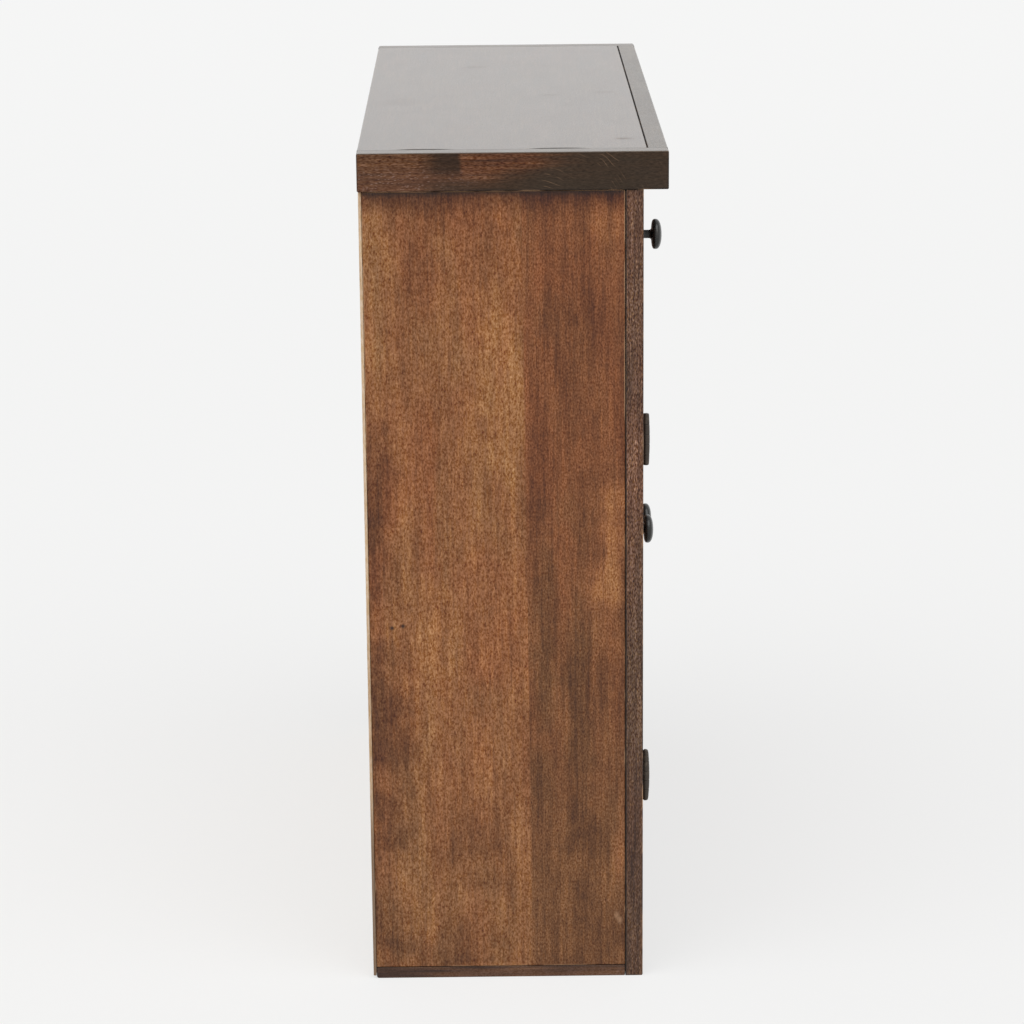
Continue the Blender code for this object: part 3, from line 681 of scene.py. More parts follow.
def knob_outline(steps=16):
    """Half of a knob's section, from the top of the crown to the end of the stud."""
    rim = KNOB_HEIGHT - CROWN_HEIGHT
    points = [(0.0, KNOB_HEIGHT)]
    for step in range(1, steps + 1):
        radius, height = bulge(pi / 2 * (1 - step / steps), KNOB_RADIUS, CROWN_HEIGHT, CROWN_FULLNESS)
        points.append((radius, rim + height))
    last = acos(((NECK_RADIUS + FILLET) / KNOB_RADIUS) ** (UNDERSIDE_FULLNESS / 2))
    for step in range(1, steps + 1):
        radius, height = bulge(last * step / steps, KNOB_RADIUS, UNDERSIDE_HEIGHT, UNDERSIDE_FULLNESS)
        points.append((radius, rim - height))
    corner = points[-1][1]
    for step in range(1, FILLET_STEPS + 1):
        turn = pi / 2 * step / FILLET_STEPS
        points.append((NECK_RADIUS + FILLET * (1 - sin(turn)), corner - FILLET * (1 - cos(turn))))
    for step in range(steps + 1):
        share = step / steps
        swell = (1 - cos(pi * share)) / 2
        radius = NECK_RADIUS + (FOOT_RADIUS - NECK_RADIUS) * swell
        points.append((radius, FOOT_HEIGHT + FLARE_HEIGHT * (1 - share)))
    points += [(FOOT_RADIUS, FOOT_EDGE), (FOOT_RADIUS - FOOT_EDGE, 0.0), (STUD_RADIUS, 0.0)]
    return points + [(STUD_RADIUS, -STUD_LENGTH), (0.0, -STUD_LENGTH)]


knobs = []
for node in [f"{kind}_knob_{name}" for kind in ("drawer", "door") for name in SIDES]:
    x, y, z = middle_of(node)
    mesh = turned(f"{node}_turned", knob_outline(), KNOB_SIDES)
    foot = Matrix.Translation((x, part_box(node)[0].y + KNOB_HEIGHT, z))
    mesh.transform(foot @ Matrix.Rotation(pi / 2, 4, "X"))
    knob = add_object(f"{node}_turned", mesh)
    stand_for(knob, node)
    knobs.append(knob)
print(len(knobs), "knobs of", len(knobs[0].data.polygons), "faces each")

# %% [markdown]
# ## Hinges
# A butt hinge is two leaves that share one barrel. The barrel is cut into five knuckles: three belong to the
# frame's leaf and two to the door's, and a pin holds them in line. That is a rule, so Geometry Nodes make it.
# The tree sets points up the pin, keeps every second one, puts a knuckle and its tab on each, and swells the
# barrel towards its middle. Given another height or number of knuckles, it makes another hinge.


# %% Start a tree of Geometry Nodes
class Pattern(Recipe):
    """A Geometry Nodes tree whose inputs are set by name."""

    def __init__(self, name, inputs):
        super().__init__(bpy.data.node_groups.new(name, "GeometryNodeTree"))
        sides = self.tree.interface
        for side in ("INPUT", "OUTPUT"):
            sides.new_socket("Geometry", in_out=side, socket_type="NodeSocketGeometry")
        for label, kind in inputs.items():
            sides.new_socket(label, in_out="INPUT", socket_type=f"NodeSocket{kind}")
        self.given = self.node("NodeGroupInput").outputs

    def shape(self, kind, inputs=None, **settings):
        return self.node(f"GeometryNode{kind}", inputs, **settings).outputs[0]

    def give(self, geometry):
        """Ends the tree: instances become real, and they get the material."""
        real = self.shape("RealizeInstances", {0: geometry})
        painted = self.shape("SetMaterial", {0: real, "Material": self.given["Material"]})
        self.node("NodeGroupOutput", {0: painted})

    def make(self, name, mesh, values):
        """A piece made by the tree from a starting mesh."""
        piece = add_object(name, mesh)
        modifier = piece.modifiers.new(self.tree.name, "NODES")
        modifier.node_group = self.tree
        for item in self.tree.interface.items_tree:
            if item.in_out == "INPUT" and item.name in values:
                modifier[item.identifier] = values[item.name]
        return settle(piece)


# %% The barrel as a tree
BARREL_SIDES = 40
KNUCKLE_STEPS = 12
inputs = {"Middle": "Vector", "Height": "Float", "Knuckles": "Int", "First": "Int", "Gap": "Float"}
inputs |= {"Middle Radius": "Float", "End Radius": "Float", "Tab": "Vector", "Tab Offset": "Vector"}
barrel = Pattern("hinge_barrel", inputs | {"Material": "Material"})
given = barrel.given
step = barrel.maths("DIVIDE", given["Height"], given["Knuckles"])
lowest = barrel.times(barrel.maths("SUBTRACT", given["Height"], step), -0.5)
upwards = {"Start Location": barrel.triple(z=lowest), "Offset": barrel.triple(z=step)}
line = barrel.shape("MeshLine", {"Count": given["Knuckles"]} | upwards)
place_in_two = barrel.maths("MODULO", barrel.shape("InputIndex"), 2.0)
placed = {"Points": line, "Selection": barrel.maths("COMPARE", place_in_two, given["First"], 0.1)}
tall = barrel.maths("SUBTRACT", step, given["Gap"])
sizes = {"Radius": 1.0, "Depth": tall, "Vertices": BARREL_SIDES, "Side Segments": KNUCKLE_STEPS}
knuckle = barrel.node("GeometryNodeMeshCylinder", sizes).outputs
smooth = barrel.shape("SetShadeSmooth", {0: knuckle["Mesh"], "Selection": knuckle["Side"]})
knuckles = barrel.shape("InstanceOnPoints", placed | {"Instance": smooth})
knuckles = barrel.shape("RealizeInstances", {0: knuckles})

# %% Swell the barrel and ease each knuckle
EASED_SHARE = 0.09
EASED_RADIUS = 0.94
x, y, z = barrel.parts(barrel.shape("InputPosition"))
share = barrel.maths("DIVIDE", barrel.times(z, 2.0), given["Height"])
loss = barrel.maths("SUBTRACT", given["Middle Radius"], given["End Radius"])
loss = barrel.times(loss, barrel.maths("POWER", share, 2.0))
radius = barrel.maths("SUBTRACT", given["Middle Radius"], loss)
along = barrel.maths("FRACT", barrel.maths("DIVIDE", barrel.maths("SUBTRACT", z, lowest), step))
eased = {"Value": barrel.apart(along, 0.5), "From Min": 0.0, "From Max": EASED_SHARE}
eased = barrel.node("ShaderNodeMapRange", eased).outputs[0]
radius = barrel.times(radius, barrel.shift(EASED_RADIUS, eased, 1 - EASED_RADIUS))
swollen = barrel.triple(barrel.times(x, radius), barrel.times(y, radius), z)
swollen = barrel.shape("SetPosition", {0: knuckles, "Position": swollen})
size_x, size_y = barrel.parts(given["Tab"])[:2]
tab = barrel.shape("MeshCube", {"Size": barrel.triple(size_x, size_y, tall)})
tab = barrel.shape("Transform", {0: tab, "Translation": given["Tab Offset"]})
tabs = barrel.shape("InstanceOnPoints", placed | {"Instance": tab})
joined = barrel.shape("JoinGeometry", {0: swollen})
barrel.tree.links.new(tabs, joined.node.inputs[0])
barrel.give(barrel.shape("Transform", {0: joined, "Translation": given["Middle"]}))
print("the barrel's tree has", len(barrel.tree.nodes), "nodes")

# %% [markdown]
# ## Screws and nails
# Small round heads repeat all over a cabinet: three screws in every hinge leaf, one in each strike, and rows of
# thin nails that hold the back. Two trees place them. One puts a head on every point that it is given, faces it
# outwards and turns each slot another way. The other first walks along a line and drops points at an even
# spacing.

# %% Make a slotted head and a nail's head
SCREW_SIDES = 24
NAIL_SIDES = 10


def slotted_head(name, radius, height, slot_width):
    """A countersunk screw's flat head, with its slot cut across."""
    outline = [(0.0, height), (radius * 0.90, height), (radius, height * 0.5)]
    outline += [(radius, -height), (0.0, -height)]
    head = add_object(name, turned(name, outline, SCREW_SIDES))
    slot = carve(head, (-radius * 1.1, -slot_width / 2, 0.0), (radius * 1.1, slot_width / 2, height * 2))
    settle(head)
    bpy.data.objects.remove(slot)
    return head


def nail_head(name, radius, height):
    outline = [(0.0, height), (radius * 0.6, height * 0.8), (radius, height * 0.2)]
    outline += [(radius, -height), (0.0, -height)]
    return add_object(name, turned(name, outline, NAIL_SIDES))


# %% Trees that place the heads
def place_heads(pattern, points):
    """Puts the head on the points, its own Z towards Facing, with a seeded turn about it."""
    given = pattern.given
    head = pattern.node("GeometryNodeObjectInfo", {"Object": given["Head"]}).outputs["Geometry"]
    spread = {2: 0.0, 3: 2 * pi, "Seed": given["Seed"]}
    spin = pattern.node("FunctionNodeRandomValue", spread, data_type="FLOAT").outputs[1]
    facing = pattern.node("FunctionNodeAlignRotationToVector", {"Vector": given["Facing"]}, axis="Z").outputs[0]
    turns = {0: facing, 1: pattern.triple(z=spin)}
    turn = pattern.node("FunctionNodeRotateRotation", turns, rotation_space="LOCAL").outputs[0]
    pattern.give(pattern.shape("InstanceOnPoints", {"Points": points, "Instance": head, "Rotation": turn}))


HEAD_INPUTS = {"Head": "Object", "Facing": "Vector", "Seed": "Int", "Material": "Material"}
screw_heads = Pattern("screw_heads", HEAD_INPUTS)
place_heads(screw_heads, screw_heads.given["Geometry"])

nail_rows = Pattern("nail_rows", {"Spacing": "Float"} | HEAD_INPUTS)
row = nail_rows.shape("MeshToCurve", {0: nail_rows.given["Geometry"]})
row = nail_rows.shape("ResampleCurve", {0: row, "Length": nail_rows.given["Spacing"]}, mode="LENGTH")
place_heads(nail_rows, row)
print("trees:", sorted(tree.name for tree in bpy.data.node_groups if tree.type == "GEOMETRY"))


# %% Set the heads
def set_heads(name, points, body, slot, lines=(), pattern=screw_heads, **values):
    """Heads on the points, or along the lines between them, that move with a body."""
    mesh = bpy.data.meshes.new(name)
    mesh.from_pydata(points, lines, [])
    heads = pattern.make(name, mesh, values)
    fasten(heads, body)
    return heads


# %% Metal finishes
CLOUD_SCALE = 90.0
METAL_GRAIN_SCALE = 1040.0


def metal(name, colour, roughness, worn, metallic=0.6):
    """Iron, steel or plastic: a faint cloud in the colour, a fine grain in the sheen and a soft relief."""
    material = bpy.data.materials.new(name)
    material.use_nodes = True
    recipe = Recipe(material.node_tree)
    shader = material.node_tree.nodes["Principled BSDF"].inputs
    place = recipe.node("ShaderNodeTexCoord").outputs["Object"]
    cloud = recipe.noise(place, CLOUD_SCALE, 4.0)
    grain = recipe.noise(place, METAL_GRAIN_SCALE, 2.0)
    recipe.feed(shader["Base Color"], recipe.blend(recipe.fade(cloud, 0.52, 0.70), colour, worn))
    recipe.feed(shader["Roughness"], recipe.fade(cloud, 0.35, 0.65, roughness * 0.85, roughness * 1.15))
    bump = recipe.node("ShaderNodeBump", {"Strength": 0.25, "Distance": 0.0002, "Height": grain})
    recipe.feed(shader["Normal"], bump.outputs["Normal"])
    shader["Metallic"].default_value = metallic
    return material


black_iron = metal("black_iron_finish", as_seen(58, 58, 57), 0.27, as_seen(76, 74, 71), metallic=0.75)
hinge_iron = metal("hinge_iron_finish", as_seen(72, 64, 57), 0.42, as_seen(98, 87, 76))
steel = metal("steel_finish", as_seen(176, 176, 178), 0.32, as_seen(140, 138, 136), metallic=1.0)
plastic = metal("plastic_finish", as_seen(58, 42, 34), 0.50, as_seen(66, 50, 41), metallic=0.0)
for knob in knobs:
    paint(knob, black_iron)

# %% Set the sizes of the hinges
BARREL_RADII = {"lower": 0.0042, "upper": 0.0039}
BARREL_END_RADIUS = 0.0031
BARREL_HEIGHTS = {"lower": 0.0558, "upper": 0.0536}
TIP_HEIGHTS = {"lower": 0.0026, "upper": 0.0006}
TIP_FULLNESS = 2.4
TIP_STEPS = 8
TIP_ROOT = 0.0004
TIP_INSET = 0.0002
HINGE_X = 0.356
LEAF_THICKNESS = 0.0012
LEAF_PLAY = 0.0003
LEAF_EDGE = 0.00025
KNUCKLES = 5
KNUCKLE_GAP = 0.0003
PIN_STANDOFF = 0.0044
TAB_OVERLAP = 0.0001
TAB_DEPTH = PIN_STANDOFF + TAB_OVERLAP
AXIS_Y = FACE_Y - PIN_STANDOFF
SCREW_RADIUS = 0.0026
SCREW_PROUD = 0.0001
SCREW_SLOT = 0.0008
SCREW_HEIGHTS = (-0.019, 0.0, 0.019)
SCREW_INSET = 0.0055
SCREW_STAGGER = 0.004


def hinge_tips(name, x, ends, height):
    """The caps at the lower and the upper end of the barrel: high and round, or low and flat."""
    radius = BARREL_END_RADIUS - TIP_INSET
    turns = [pi / 2 * (1 - step / TIP_STEPS) for step in range(1, TIP_STEPS + 1)]
    outline = [(0.0, height)] + [bulge(turn, radius, height, TIP_FULLNESS) for turn in turns]
    outline += [(radius, -TIP_ROOT), (0.0, -TIP_ROOT)]
    caps = []
    for end, turn in zip(ends, (Matrix.Rotation(pi, 4, "X"), Matrix.Identity(4))):
        mesh = turned(name, outline, BARREL_SIDES)
        mesh.transform(Matrix.Translation((x, AXIS_Y, end)) @ turn)
        caps.append(mesh)
    return caps


def join_meshes(name, meshes, material):
    """One piece of several meshes, all in one material."""
    shape = bmesh.new()
    for mesh in meshes:
        shape.from_mesh(mesh)
    piece = add_object(name, as_mesh(name, shape))
    piece.data.materials.clear()
    piece.data.materials.append(material)
    return piece


# %% Make the hinges
def knuckles_of(name, axis_x, leaf_x, middle, first, level, height):
    """Every second knuckle of a barrel, from the lowest one if first is 0."""
    values = {"Middle": (axis_x, AXIS_Y, middle), "Height": height, "Knuckles": KNUCKLES, "First": first}
    values |= {"Gap": KNUCKLE_GAP, "Middle Radius": BARREL_RADII[level], "End Radius": BARREL_END_RADIUS}
    values |= {"Tab": (LEAF_THICKNESS, TAB_DEPTH, 0.0), "Tab Offset": (leaf_x - axis_x, TAB_DEPTH / 2, 0.0)}
    return barrel.make(name, bpy.data.meshes.new(name), values | {"Material": hinge_iron})


def hinge_leaf(name, side, middle, on_door, node, level):
    """A leaf with its knuckles and screws. The frame's leaf also has the caps at the ends of the barrel."""
    axis_x = side * HINGE_X
    towards = -side if on_door else side
    near, far = axis_x + towards * LEAF_PLAY / 2, axis_x + towards * (LEAF_PLAY / 2 + LEAF_THICKNESS)
    low = (min(near, far), FACE_Y, middle - LEAF_HEIGHT / 2)
    high = (max(near, far), FACE_Y + LEAF_DEPTH, middle + LEAF_HEIGHT / 2)
    plate = rounded_board(f"{name}_plate", low, high, LEAF_EDGE)
    height = BARREL_HEIGHTS[level] - 2 * TIP_HEIGHTS[level]
    leaf_x = (near + far) / 2
    knuckles = knuckles_of(f"{name}_knuckles", axis_x, leaf_x, middle, int(on_door), level, height)
    parts = [plate.data, knuckles.data]
    if not on_door:
        parts += hinge_tips(name, axis_x, (middle - height / 2, middle + height / 2), TIP_HEIGHTS[level])
    stand_for(join_meshes(name, parts, hinge_iron), node)
    for spent in (plate, knuckles):
        bpy.data.objects.remove(spent)
    insets = [FACE_Y + SCREW_INSET + SCREW_STAGGER * (rise == 0.0) for rise in SCREW_HEIGHTS]
    places = [(near, inset, middle + rise) for inset, rise in zip(insets, SCREW_HEIGHTS)]
    looks = {"Head": hinge_screw, "Facing": (-towards, 0.0, 0.0), "Seed": 3, "Material": hinge_iron}
    set_heads(f"{name}_screws", places, nodes[node]["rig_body"], "black_iron", **looks)


hinge_screw = slotted_head("hinge_screw", SCREW_RADIUS, SCREW_PROUD, SCREW_SLOT)
for name, side in SIDES.items():
    for level, middle in zip(("lower", "upper"), hinge_middles(name)):
        for kind in ("frame", "door"):
            node = f"hinge_{name}_{level}_{kind}_leaf"
            hinge_leaf(f"leaf_{name}_{level}_{kind}", side, middle, kind == "door", node, level)
bpy.data.objects.remove(hinge_screw)
print("four hinges, each with", KNUCKLES, "knuckles and", 2 * len(SCREW_HEIGHTS), "screws")

# %% Nail the back
NAIL_SPACING = 0.075
NAIL_INSET = 0.0075
NAIL_END_INSET = 0.015
NAIL_RADIUS = 0.0016
NAIL_PROUD = 0.0004
back_low, back_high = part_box("back_panel")
left_x, right_x, rear_y = back_low.x + NAIL_INSET, back_high.x - NAIL_INSET, back_high.y
points = []
for x in (left_x, right_x):
    points += [(x, rear_y, back_low.z + NAIL_END_INSET), (x, rear_y, back_high.z - NAIL_END_INSET)]
for name in ("bottom_panel", "shelf", "drawer_divider"):
    z = middle_of(name)[2]
    points += [(left_x + NAIL_SPACING, rear_y, z), (right_x - NAIL_SPACING, rear_y, z)]
lines = [(first, first + 1) for first in range(0, len(points), 2)]
nail = nail_head("nail", NAIL_RADIUS, NAIL_PROUD)
looks = {"Spacing": NAIL_SPACING, "Head": nail, "Facing": (0.0, 1.0, 0.0), "Seed": 5, "Material": steel}
nails = set_heads("back_nails", points, "cabinet", "bright_steel", lines, nail_rows, **looks)
bpy.data.objects.remove(nail)
print("the back is held by", len(nails.data.polygons) // (4 * NAIL_SIDES), "nails")

# %% Detail the catch and the strikes
CATCH_RECESS = 0.0005
CATCH_EDGE = 0.0012
POLE_THICKNESS = 0.0011
POLE_SPREAD = 0.0034
POLE_DEPTH = 0.004
POLE_EDGE = 0.0002
STRIKE_SCREW_RADIUS = 0.0030
STRIKE_SCREW_SLOT = 0.0009
catch_low, catch_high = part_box("door_catch")
body_low = (catch_low.x, catch_low.y + CATCH_RECESS, catch_low.z)
catch = rounded_board("catch_body", body_low, catch_high, CATCH_EDGE)
paint(catch, plastic)
stand_for(catch, "door_catch")
middle_z = middle_of("door_catch")[2]
poles = []
for name in SIDES:
    strike_low, strike_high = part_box(f"door_strike_{name}")
    for z in (middle_z - POLE_SPREAD, middle_z + POLE_SPREAD):
        low = (strike_low.x, catch_low.y, z - POLE_THICKNESS / 2)
        high = (strike_high.x, catch_low.y + POLE_DEPTH, z + POLE_THICKNESS / 2)
        plate = rounded_board("pole", low, high, POLE_EDGE)
        poles.append(plate.data)
        bpy.data.objects.remove(plate)
fasten(join_meshes("catch_poles", poles, steel), "cabinet")

strike_screw = slotted_head("strike_screw", STRIKE_SCREW_RADIUS, SCREW_PROUD, STRIKE_SCREW_SLOT)
looks = {"Head": strike_screw, "Facing": (0.0, 1.0, 0.0), "Seed": 7, "Material": steel}
for name in SIDES:
    x, y, z = middle_of(f"door_strike_{name}")
    place = (x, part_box(f"door_strike_{name}")[1].y, z)
    set_heads(f"strike_screw_{name}", [place], f"door_{name}", "bright_steel", **looks)
bpy.data.objects.remove(strike_screw)
print("the catch has", len(poles), "pole plates")

# %% [markdown]
# ## Side panels
# The sides are veneered board. Thin leaves of wood lie side by side with the grain upright: a golden leaf at the
# rear and a browner, redder one at the front, with a straight joint between them. The stain lies on them in soft
# clouds. Noise alone would put these anywhere, so the largest ones are listed one by one as soft patches, and the
# noise only roughens them.

# %% Where the stain lies on the sides
VENEER = (beneath(66, 46, 36), beneath(104, 70, 50), beneath(137, 93, 63))
VENEER += (beneath(163, 114, 74), beneath(184, 136, 92))
VENEER_SHARES = (0.0, 0.3, 0.6, 0.85, 1.0)
# Each line: y and z of a cloud, how far it reaches across and up, how much lighter and how much redder it is.
CLOUDS = (
    (0.012, 0.640, 0.032, 0.170, 0.15, -0.2),
    (0.138, 0.735, 0.026, 0.110, 0.17, -0.2),
    (0.088, 0.745, 0.034, 0.050, -0.10, 0.2),
    (0.070, 0.800, 0.080, 0.030, -0.09, 0.2),
    (0.034, 0.760, 0.030, 0.045, -0.10, 0.0),
    (0.038, 0.560, 0.015, 0.100, 0.14, -0.1),
    (0.085, 0.370, 0.042, 0.075, 0.11, -0.2),
    (0.145, 0.490, 0.026, 0.120, -0.27, 0.4),
    (0.137, 0.270, 0.032, 0.150, -0.34, 0.0),
    (0.142, 0.168, 0.022, 0.034, 0.14, 0.0),
    (0.145, 0.066, 0.034, 0.085, -0.20, -0.1),
    (0.085, 0.025, 0.080, 0.042, -0.26, -0.1),
    (0.078, 0.225, 0.016, 0.070, 0.08, 0.0),
    (0.037, 0.215, 0.013, 0.080, 0.13, 0.0),
    (0.026, 0.085, 0.030, 0.040, -0.08, 0.0),
    (0.012, 0.245, 0.018, 0.050, 0.08, -0.1),
    (0.050, 0.142, 0.034, 0.065, -0.20, 0.0),
    (-0.022, 0.560, 0.017, 0.130, -0.15, 0.1),
    (-0.026, 0.330, 0.015, 0.200, -0.10, -0.4),
    (-0.055, 0.400, 0.022, 0.060, 0.09, 0.1),
    (-0.060, 0.300, 0.019, 0.160, -0.12, -0.4),
    (-0.048, 0.700, 0.022, 0.085, -0.13, -0.1),
    (-0.092, 0.790, 0.018, 0.040, 0.14, -0.2),
    (-0.092, 0.440, 0.022, 0.115, 0.34, -0.1),
    (-0.073, 0.136, 0.026, 0.058, -0.24, 0.0),
    (-0.100, 0.116, 0.013, 0.050, 0.12, 0.4),
    (-0.080, 0.045, 0.038, 0.060, -0.20, -0.2),
)

# %% Veneer the sides
LEAF_JOINT_Y = -0.0122
JOINT_LEAN = 0.007
JOINT_SOFTNESS = 0.0024


def veneer(name, clouds, outer_x):
    """A side whose two leaves meet at the joint, with its clouds."""
    board = Board(name, "Z")
    leaning = board.shift(board.y, board.z, -JOINT_LEAN)
    front = board.fade(leaning, LEAF_JOINT_Y + JOINT_SOFTNESS, LEAF_JOINT_Y - JOINT_SOFTNESS)
    leaf = board.maths("LESS_THAN", leaning, LEAF_JOINT_Y)
    board.grain = board.vectors("ADD", board.grain, board.triple(leaf, 0.0, leaf))
    board.draw(middle=0.60, clouds=0.42, cloud_width=0.035, figure=0.36, lines=0.48)
    board.lighten(board.streak(0.0042, 2.5), 0.38)
    board.lighten(front, -0.16)
    board.warm_up(amount=1.2, width=0.040)
    board.redden(board.times(front, board.fade(board.z, 0.36, 0.56)), 0.40)
    board.redden(board.fade(board.z, 0.26, 0.06), -0.36)
    board.redden(board.times(front, board.fade(board.z, 0.34, 0.14)), -0.28)
    for y, z, across, up, lighter, redder in clouds:
        cloud = board.patch((outer_x, y, z), (0.1, across, up))
        board.lighten(cloud, lighter)
        board.redden(cloud, redder)
    return board


def veneered_side(name, side):
    """A side with painted shade under the top, a pale stretch at the floor and rubbed edges."""
    outer_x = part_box(name)[0].x if side < 0 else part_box(name)[1].x
    board = veneer(name, CLOUDS if side < 0 else CLOUDS[::2], outer_x)
    # Painted shade under the top: the side darkens over its highest three centimetres or so.
    board.lighten(board.fade(board.shift(board.z, board.rim, 0.008), 0.796, 0.824), -0.30)
    # Slightly darker near every edge; under the top this deepens the painted shade.
    board.lighten(board.fade(board.edge, 0.016, 0.0), -0.06)
    board.lighten(board.patch((outer_x, 0.030, 0.013), (0.05, 0.075, 0.006)), 0.16)
    board.stain(VENEER, speckle=2.5, fine=0.0015, stretch=1.7, flecks=0.14, shares=VENEER_SHARES)
    # Painted shade: a dark, ragged band right under the top, where the top shades the side.
    board.cover(board.fade(board.shift(board.z, board.rim, 0.002), 0.818, 0.826), DIRT_AND_SHADE, 0.65)
    low_edge = board.patch((outer_x, 0.010, 0.012), (0.05, 0.100, 0.010))
    board.rub(board.shift(board.fade(board.z, 0.45, 0.75, 0.38, 0.58), low_edge, 0.22))
    return board, outer_x


# %% Mark the sides with use
PINHOLES = ((0.1278, 0.3802), (0.1166, 0.3822))
PINHOLE = as_seen(48, 26, 16)
SCUFF = ((-0.0992, 0.0672), (-0.1024, 0.0618))
for name, side in SIDES.items():
    board, outer_x = veneered_side(f"side_panel_{name}", side)
    marks = [(spot, (0.01, 0.0030, 0.0030), PINHOLE, 1.0) for spot in PINHOLES]
    marks += [(spot, (0.01, 0.0036, 0.0055), PALE_WOOD, 0.42) for spot in SCUFF]
    for spot, reach, colour, share in marks if side < 0 else ():
        mark = board.use(soft_patch, Place=board.place, Centre=(outer_x, *spot), Reach=reach)
        board.cover(mark, colour, share)
    board.finish(roughness=0.50)
print("veneered both sides, with", len(CLOUDS), "and", len(CLOUDS[::2]), "clouds")

# %% [markdown]
# ## The frame and the top
# The frame round the front, the runners and the strips of the top are solid wood with a coarser grain. The stain
# caught in it, so that dark and pale flecks lie side by side. The top is varnished as well: seen at a low angle
# it mirrors the white room and looks pale, though its own colour is as dark as the frame's.

# %% Stain the frame
STAIN = (beneath(48, 35, 28), beneath(98, 73, 58), beneath(150, 116, 91))
HANDLED_HEIGHT = 0.53


def stained(name, along, colours=STAIN, speckle=5.4, held=0.0, low=0.0, **figure):
    """A board of solid wood. held is how much paler and redder it is at the knobs' height, and low how much
    paler it is low down."""
    board = Board(name, along)
    board.draw(**({"clouds": 0.6, "figure": 0.4, "lines": 0.9} | figure))
    board.warm_up()
    below = board.fade(board.z, 0.44, 0.30)
    handled = board.fade(board.apart(board.z, HANDLED_HEIGHT), 0.13, 0.03)
    board.lighten(below, low)
    board.lighten(handled, held)
    board.redden(below, -0.3)
    board.redden(handled, held)
    calmer = board.fade(board.z, 0.15, 0.40, speckle * 0.72, speckle)
    board.stain(colours, calmer, fine=0.0009, stretch=3.4, flecks=1.4)
    board.grime(0.4, width=0.0014)
    board.rub(0.40)
    return board


def on_both_sides(stem, *ends):
    """The names of a left and a right board, or of one for each end on both sides."""
    return [f"{stem}_{name}{end}" for name in SIDES for end in ends or ("",)]


UPRIGHTS = ["frame_mullion"] + on_both_sides("door_stile", "_lock", "_hinge")
LEVELS = ["frame_rail_top", "frame_rail_middle", "frame_rail_bottom"]
LEVELS += on_both_sides("drawer_front") + on_both_sides("door_rail", "_bottom", "_top")
for name in UPRIGHTS + LEVELS:
    stained(name, "Z" if name in UPRIGHTS else "X").finish(roughness=0.46, relief=0.4)
print("stained", len(UPRIGHTS + LEVELS), "boards")

# %% Stain the corner stiles and the runners
# A dark line is painted down where the stile meets the side: the shade in that groove.
GROOVE_WIDTH = 0.0018
STILE_FIGURE = {"middle": 0.46, "clouds": 0.45, "figure": 0.3}
for name in SIDES:
    board = stained(f"frame_stile_{name}", "Z", speckle=4.9, held=0.11, low=-0.09, **STILE_FIGURE)
    groove_shade = board.fade(board.y, board.high.y - GROOVE_WIDTH, board.high.y - GROOVE_WIDTH * 0.4)
    # Painted shade along the stile's rear edge, next to the side.
    board.cover(groove_shade, DIRT_AND_SHADE, 0.9)
    board.finish(roughness=0.46, relief=0.4)

    board = Board(f"base_runner_{name}", "Y")
    board.draw(middle=0.20, clouds=0.5)
    board.lighten(board.fade(board.y, 0.14, -0.02), 0.26)
    board.stain(STAIN, speckle=1.8, flecks=0.2)
    board.cover(board.fade(board.z, board.high.z - 0.003, board.high.z), DIRT_AND_SHADE, 0.35)
    board.finish(roughness=0.5)

# %% Varnish the top
# The varnish is gone along the seams, where dirt has settled in its place.
TOP_STAIN = (beneath(38, 29, 23), beneath(75, 61, 48), beneath(110, 90, 70))
SEAM_WIDTH = 0.0010
OPENED_SEAM = 0.0055
OPENING_WAVE = 0.1325
OPENING_SHIFT = -2.67
# Each line: x and y of a mark in the varnish, how far it reaches, and how much of the varnish is gone.
TOP_MARKS = (
    (-0.3225, -0.108, 0.008, 0.34),
    (0.207, 0.036, 0.011, 0.11),
    (-0.019, -0.040, 0.009, 0.09),
    (-0.001, -0.102, 0.009, 0.09),
    (-0.093, -0.059, 0.007, 0.10),
    (-0.060, 0.119, 0.030, 0.05),
)
board = stained("top_panel", "X", TOP_STAIN, speckle=0.6, clouds=0.3, figure=0.3, lines=0.4)
bare = board.fade(board.y, board.low.y + SEAM_WIDTH, board.low.y + SEAM_WIDTH * 0.6)
wave = board.maths("SINE", board.shift(OPENING_SHIFT, board.y, 2 * pi / OPENING_WAVE))
for outer_x, widest in ((board.low.x, OPENED_SEAM), (board.high.x, OPENED_SEAM / 4)):
    opened = board.fade(wave, -0.2, 1.0, 0.0, widest)
    past = board.maths("SUBTRACT", board.apart(board.x, outer_x), opened)
    bare = board.maths("MAXIMUM", bare, board.fade(past, 0.0, -0.0022))
board.cover(bare, DIRT_AND_SHADE, 0.9)
for x, y, reach, share in TOP_MARKS:
    mark = board.patch((x, y, board.high.z), (reach, reach * 1.4, 0.01))
    bare = board.maths("MAXIMUM", bare, board.times(mark, share))
board.finish(roughness=0.32, relief=0.05, smudge=0.04, coat=0.87, bare=bare)

# %% Varnish the strip at the front
STRIP_STAIN = (beneath(37, 31, 24), beneath(72, 62, 49), beneath(106, 92, 72))
BROWNER = (1.30, 1.02, 1.00, 1.0)
board = stained("top_strip_front", "X", STRIP_STAIN, speckle=1.1, clouds=0.4, figure=0.3, lines=0.4)
seam = board.fade(board.y, board.high.y - SEAM_WIDTH, board.high.y - SEAM_WIDTH * 0.6)
board.cover(seam, DIRT_AND_SHADE, 0.9)
below = board.fade(board.z, board.high.z - 0.0005, board.high.z - 0.0040)
board.colour = board.blend(below, board.colour, BROWNER, way="MULTIPLY")
bare = board.maths("MAXIMUM", seam, below)
board.finish(roughness=0.36, relief=0.10, smudge=0.10, coat=0.62, bare=bare)

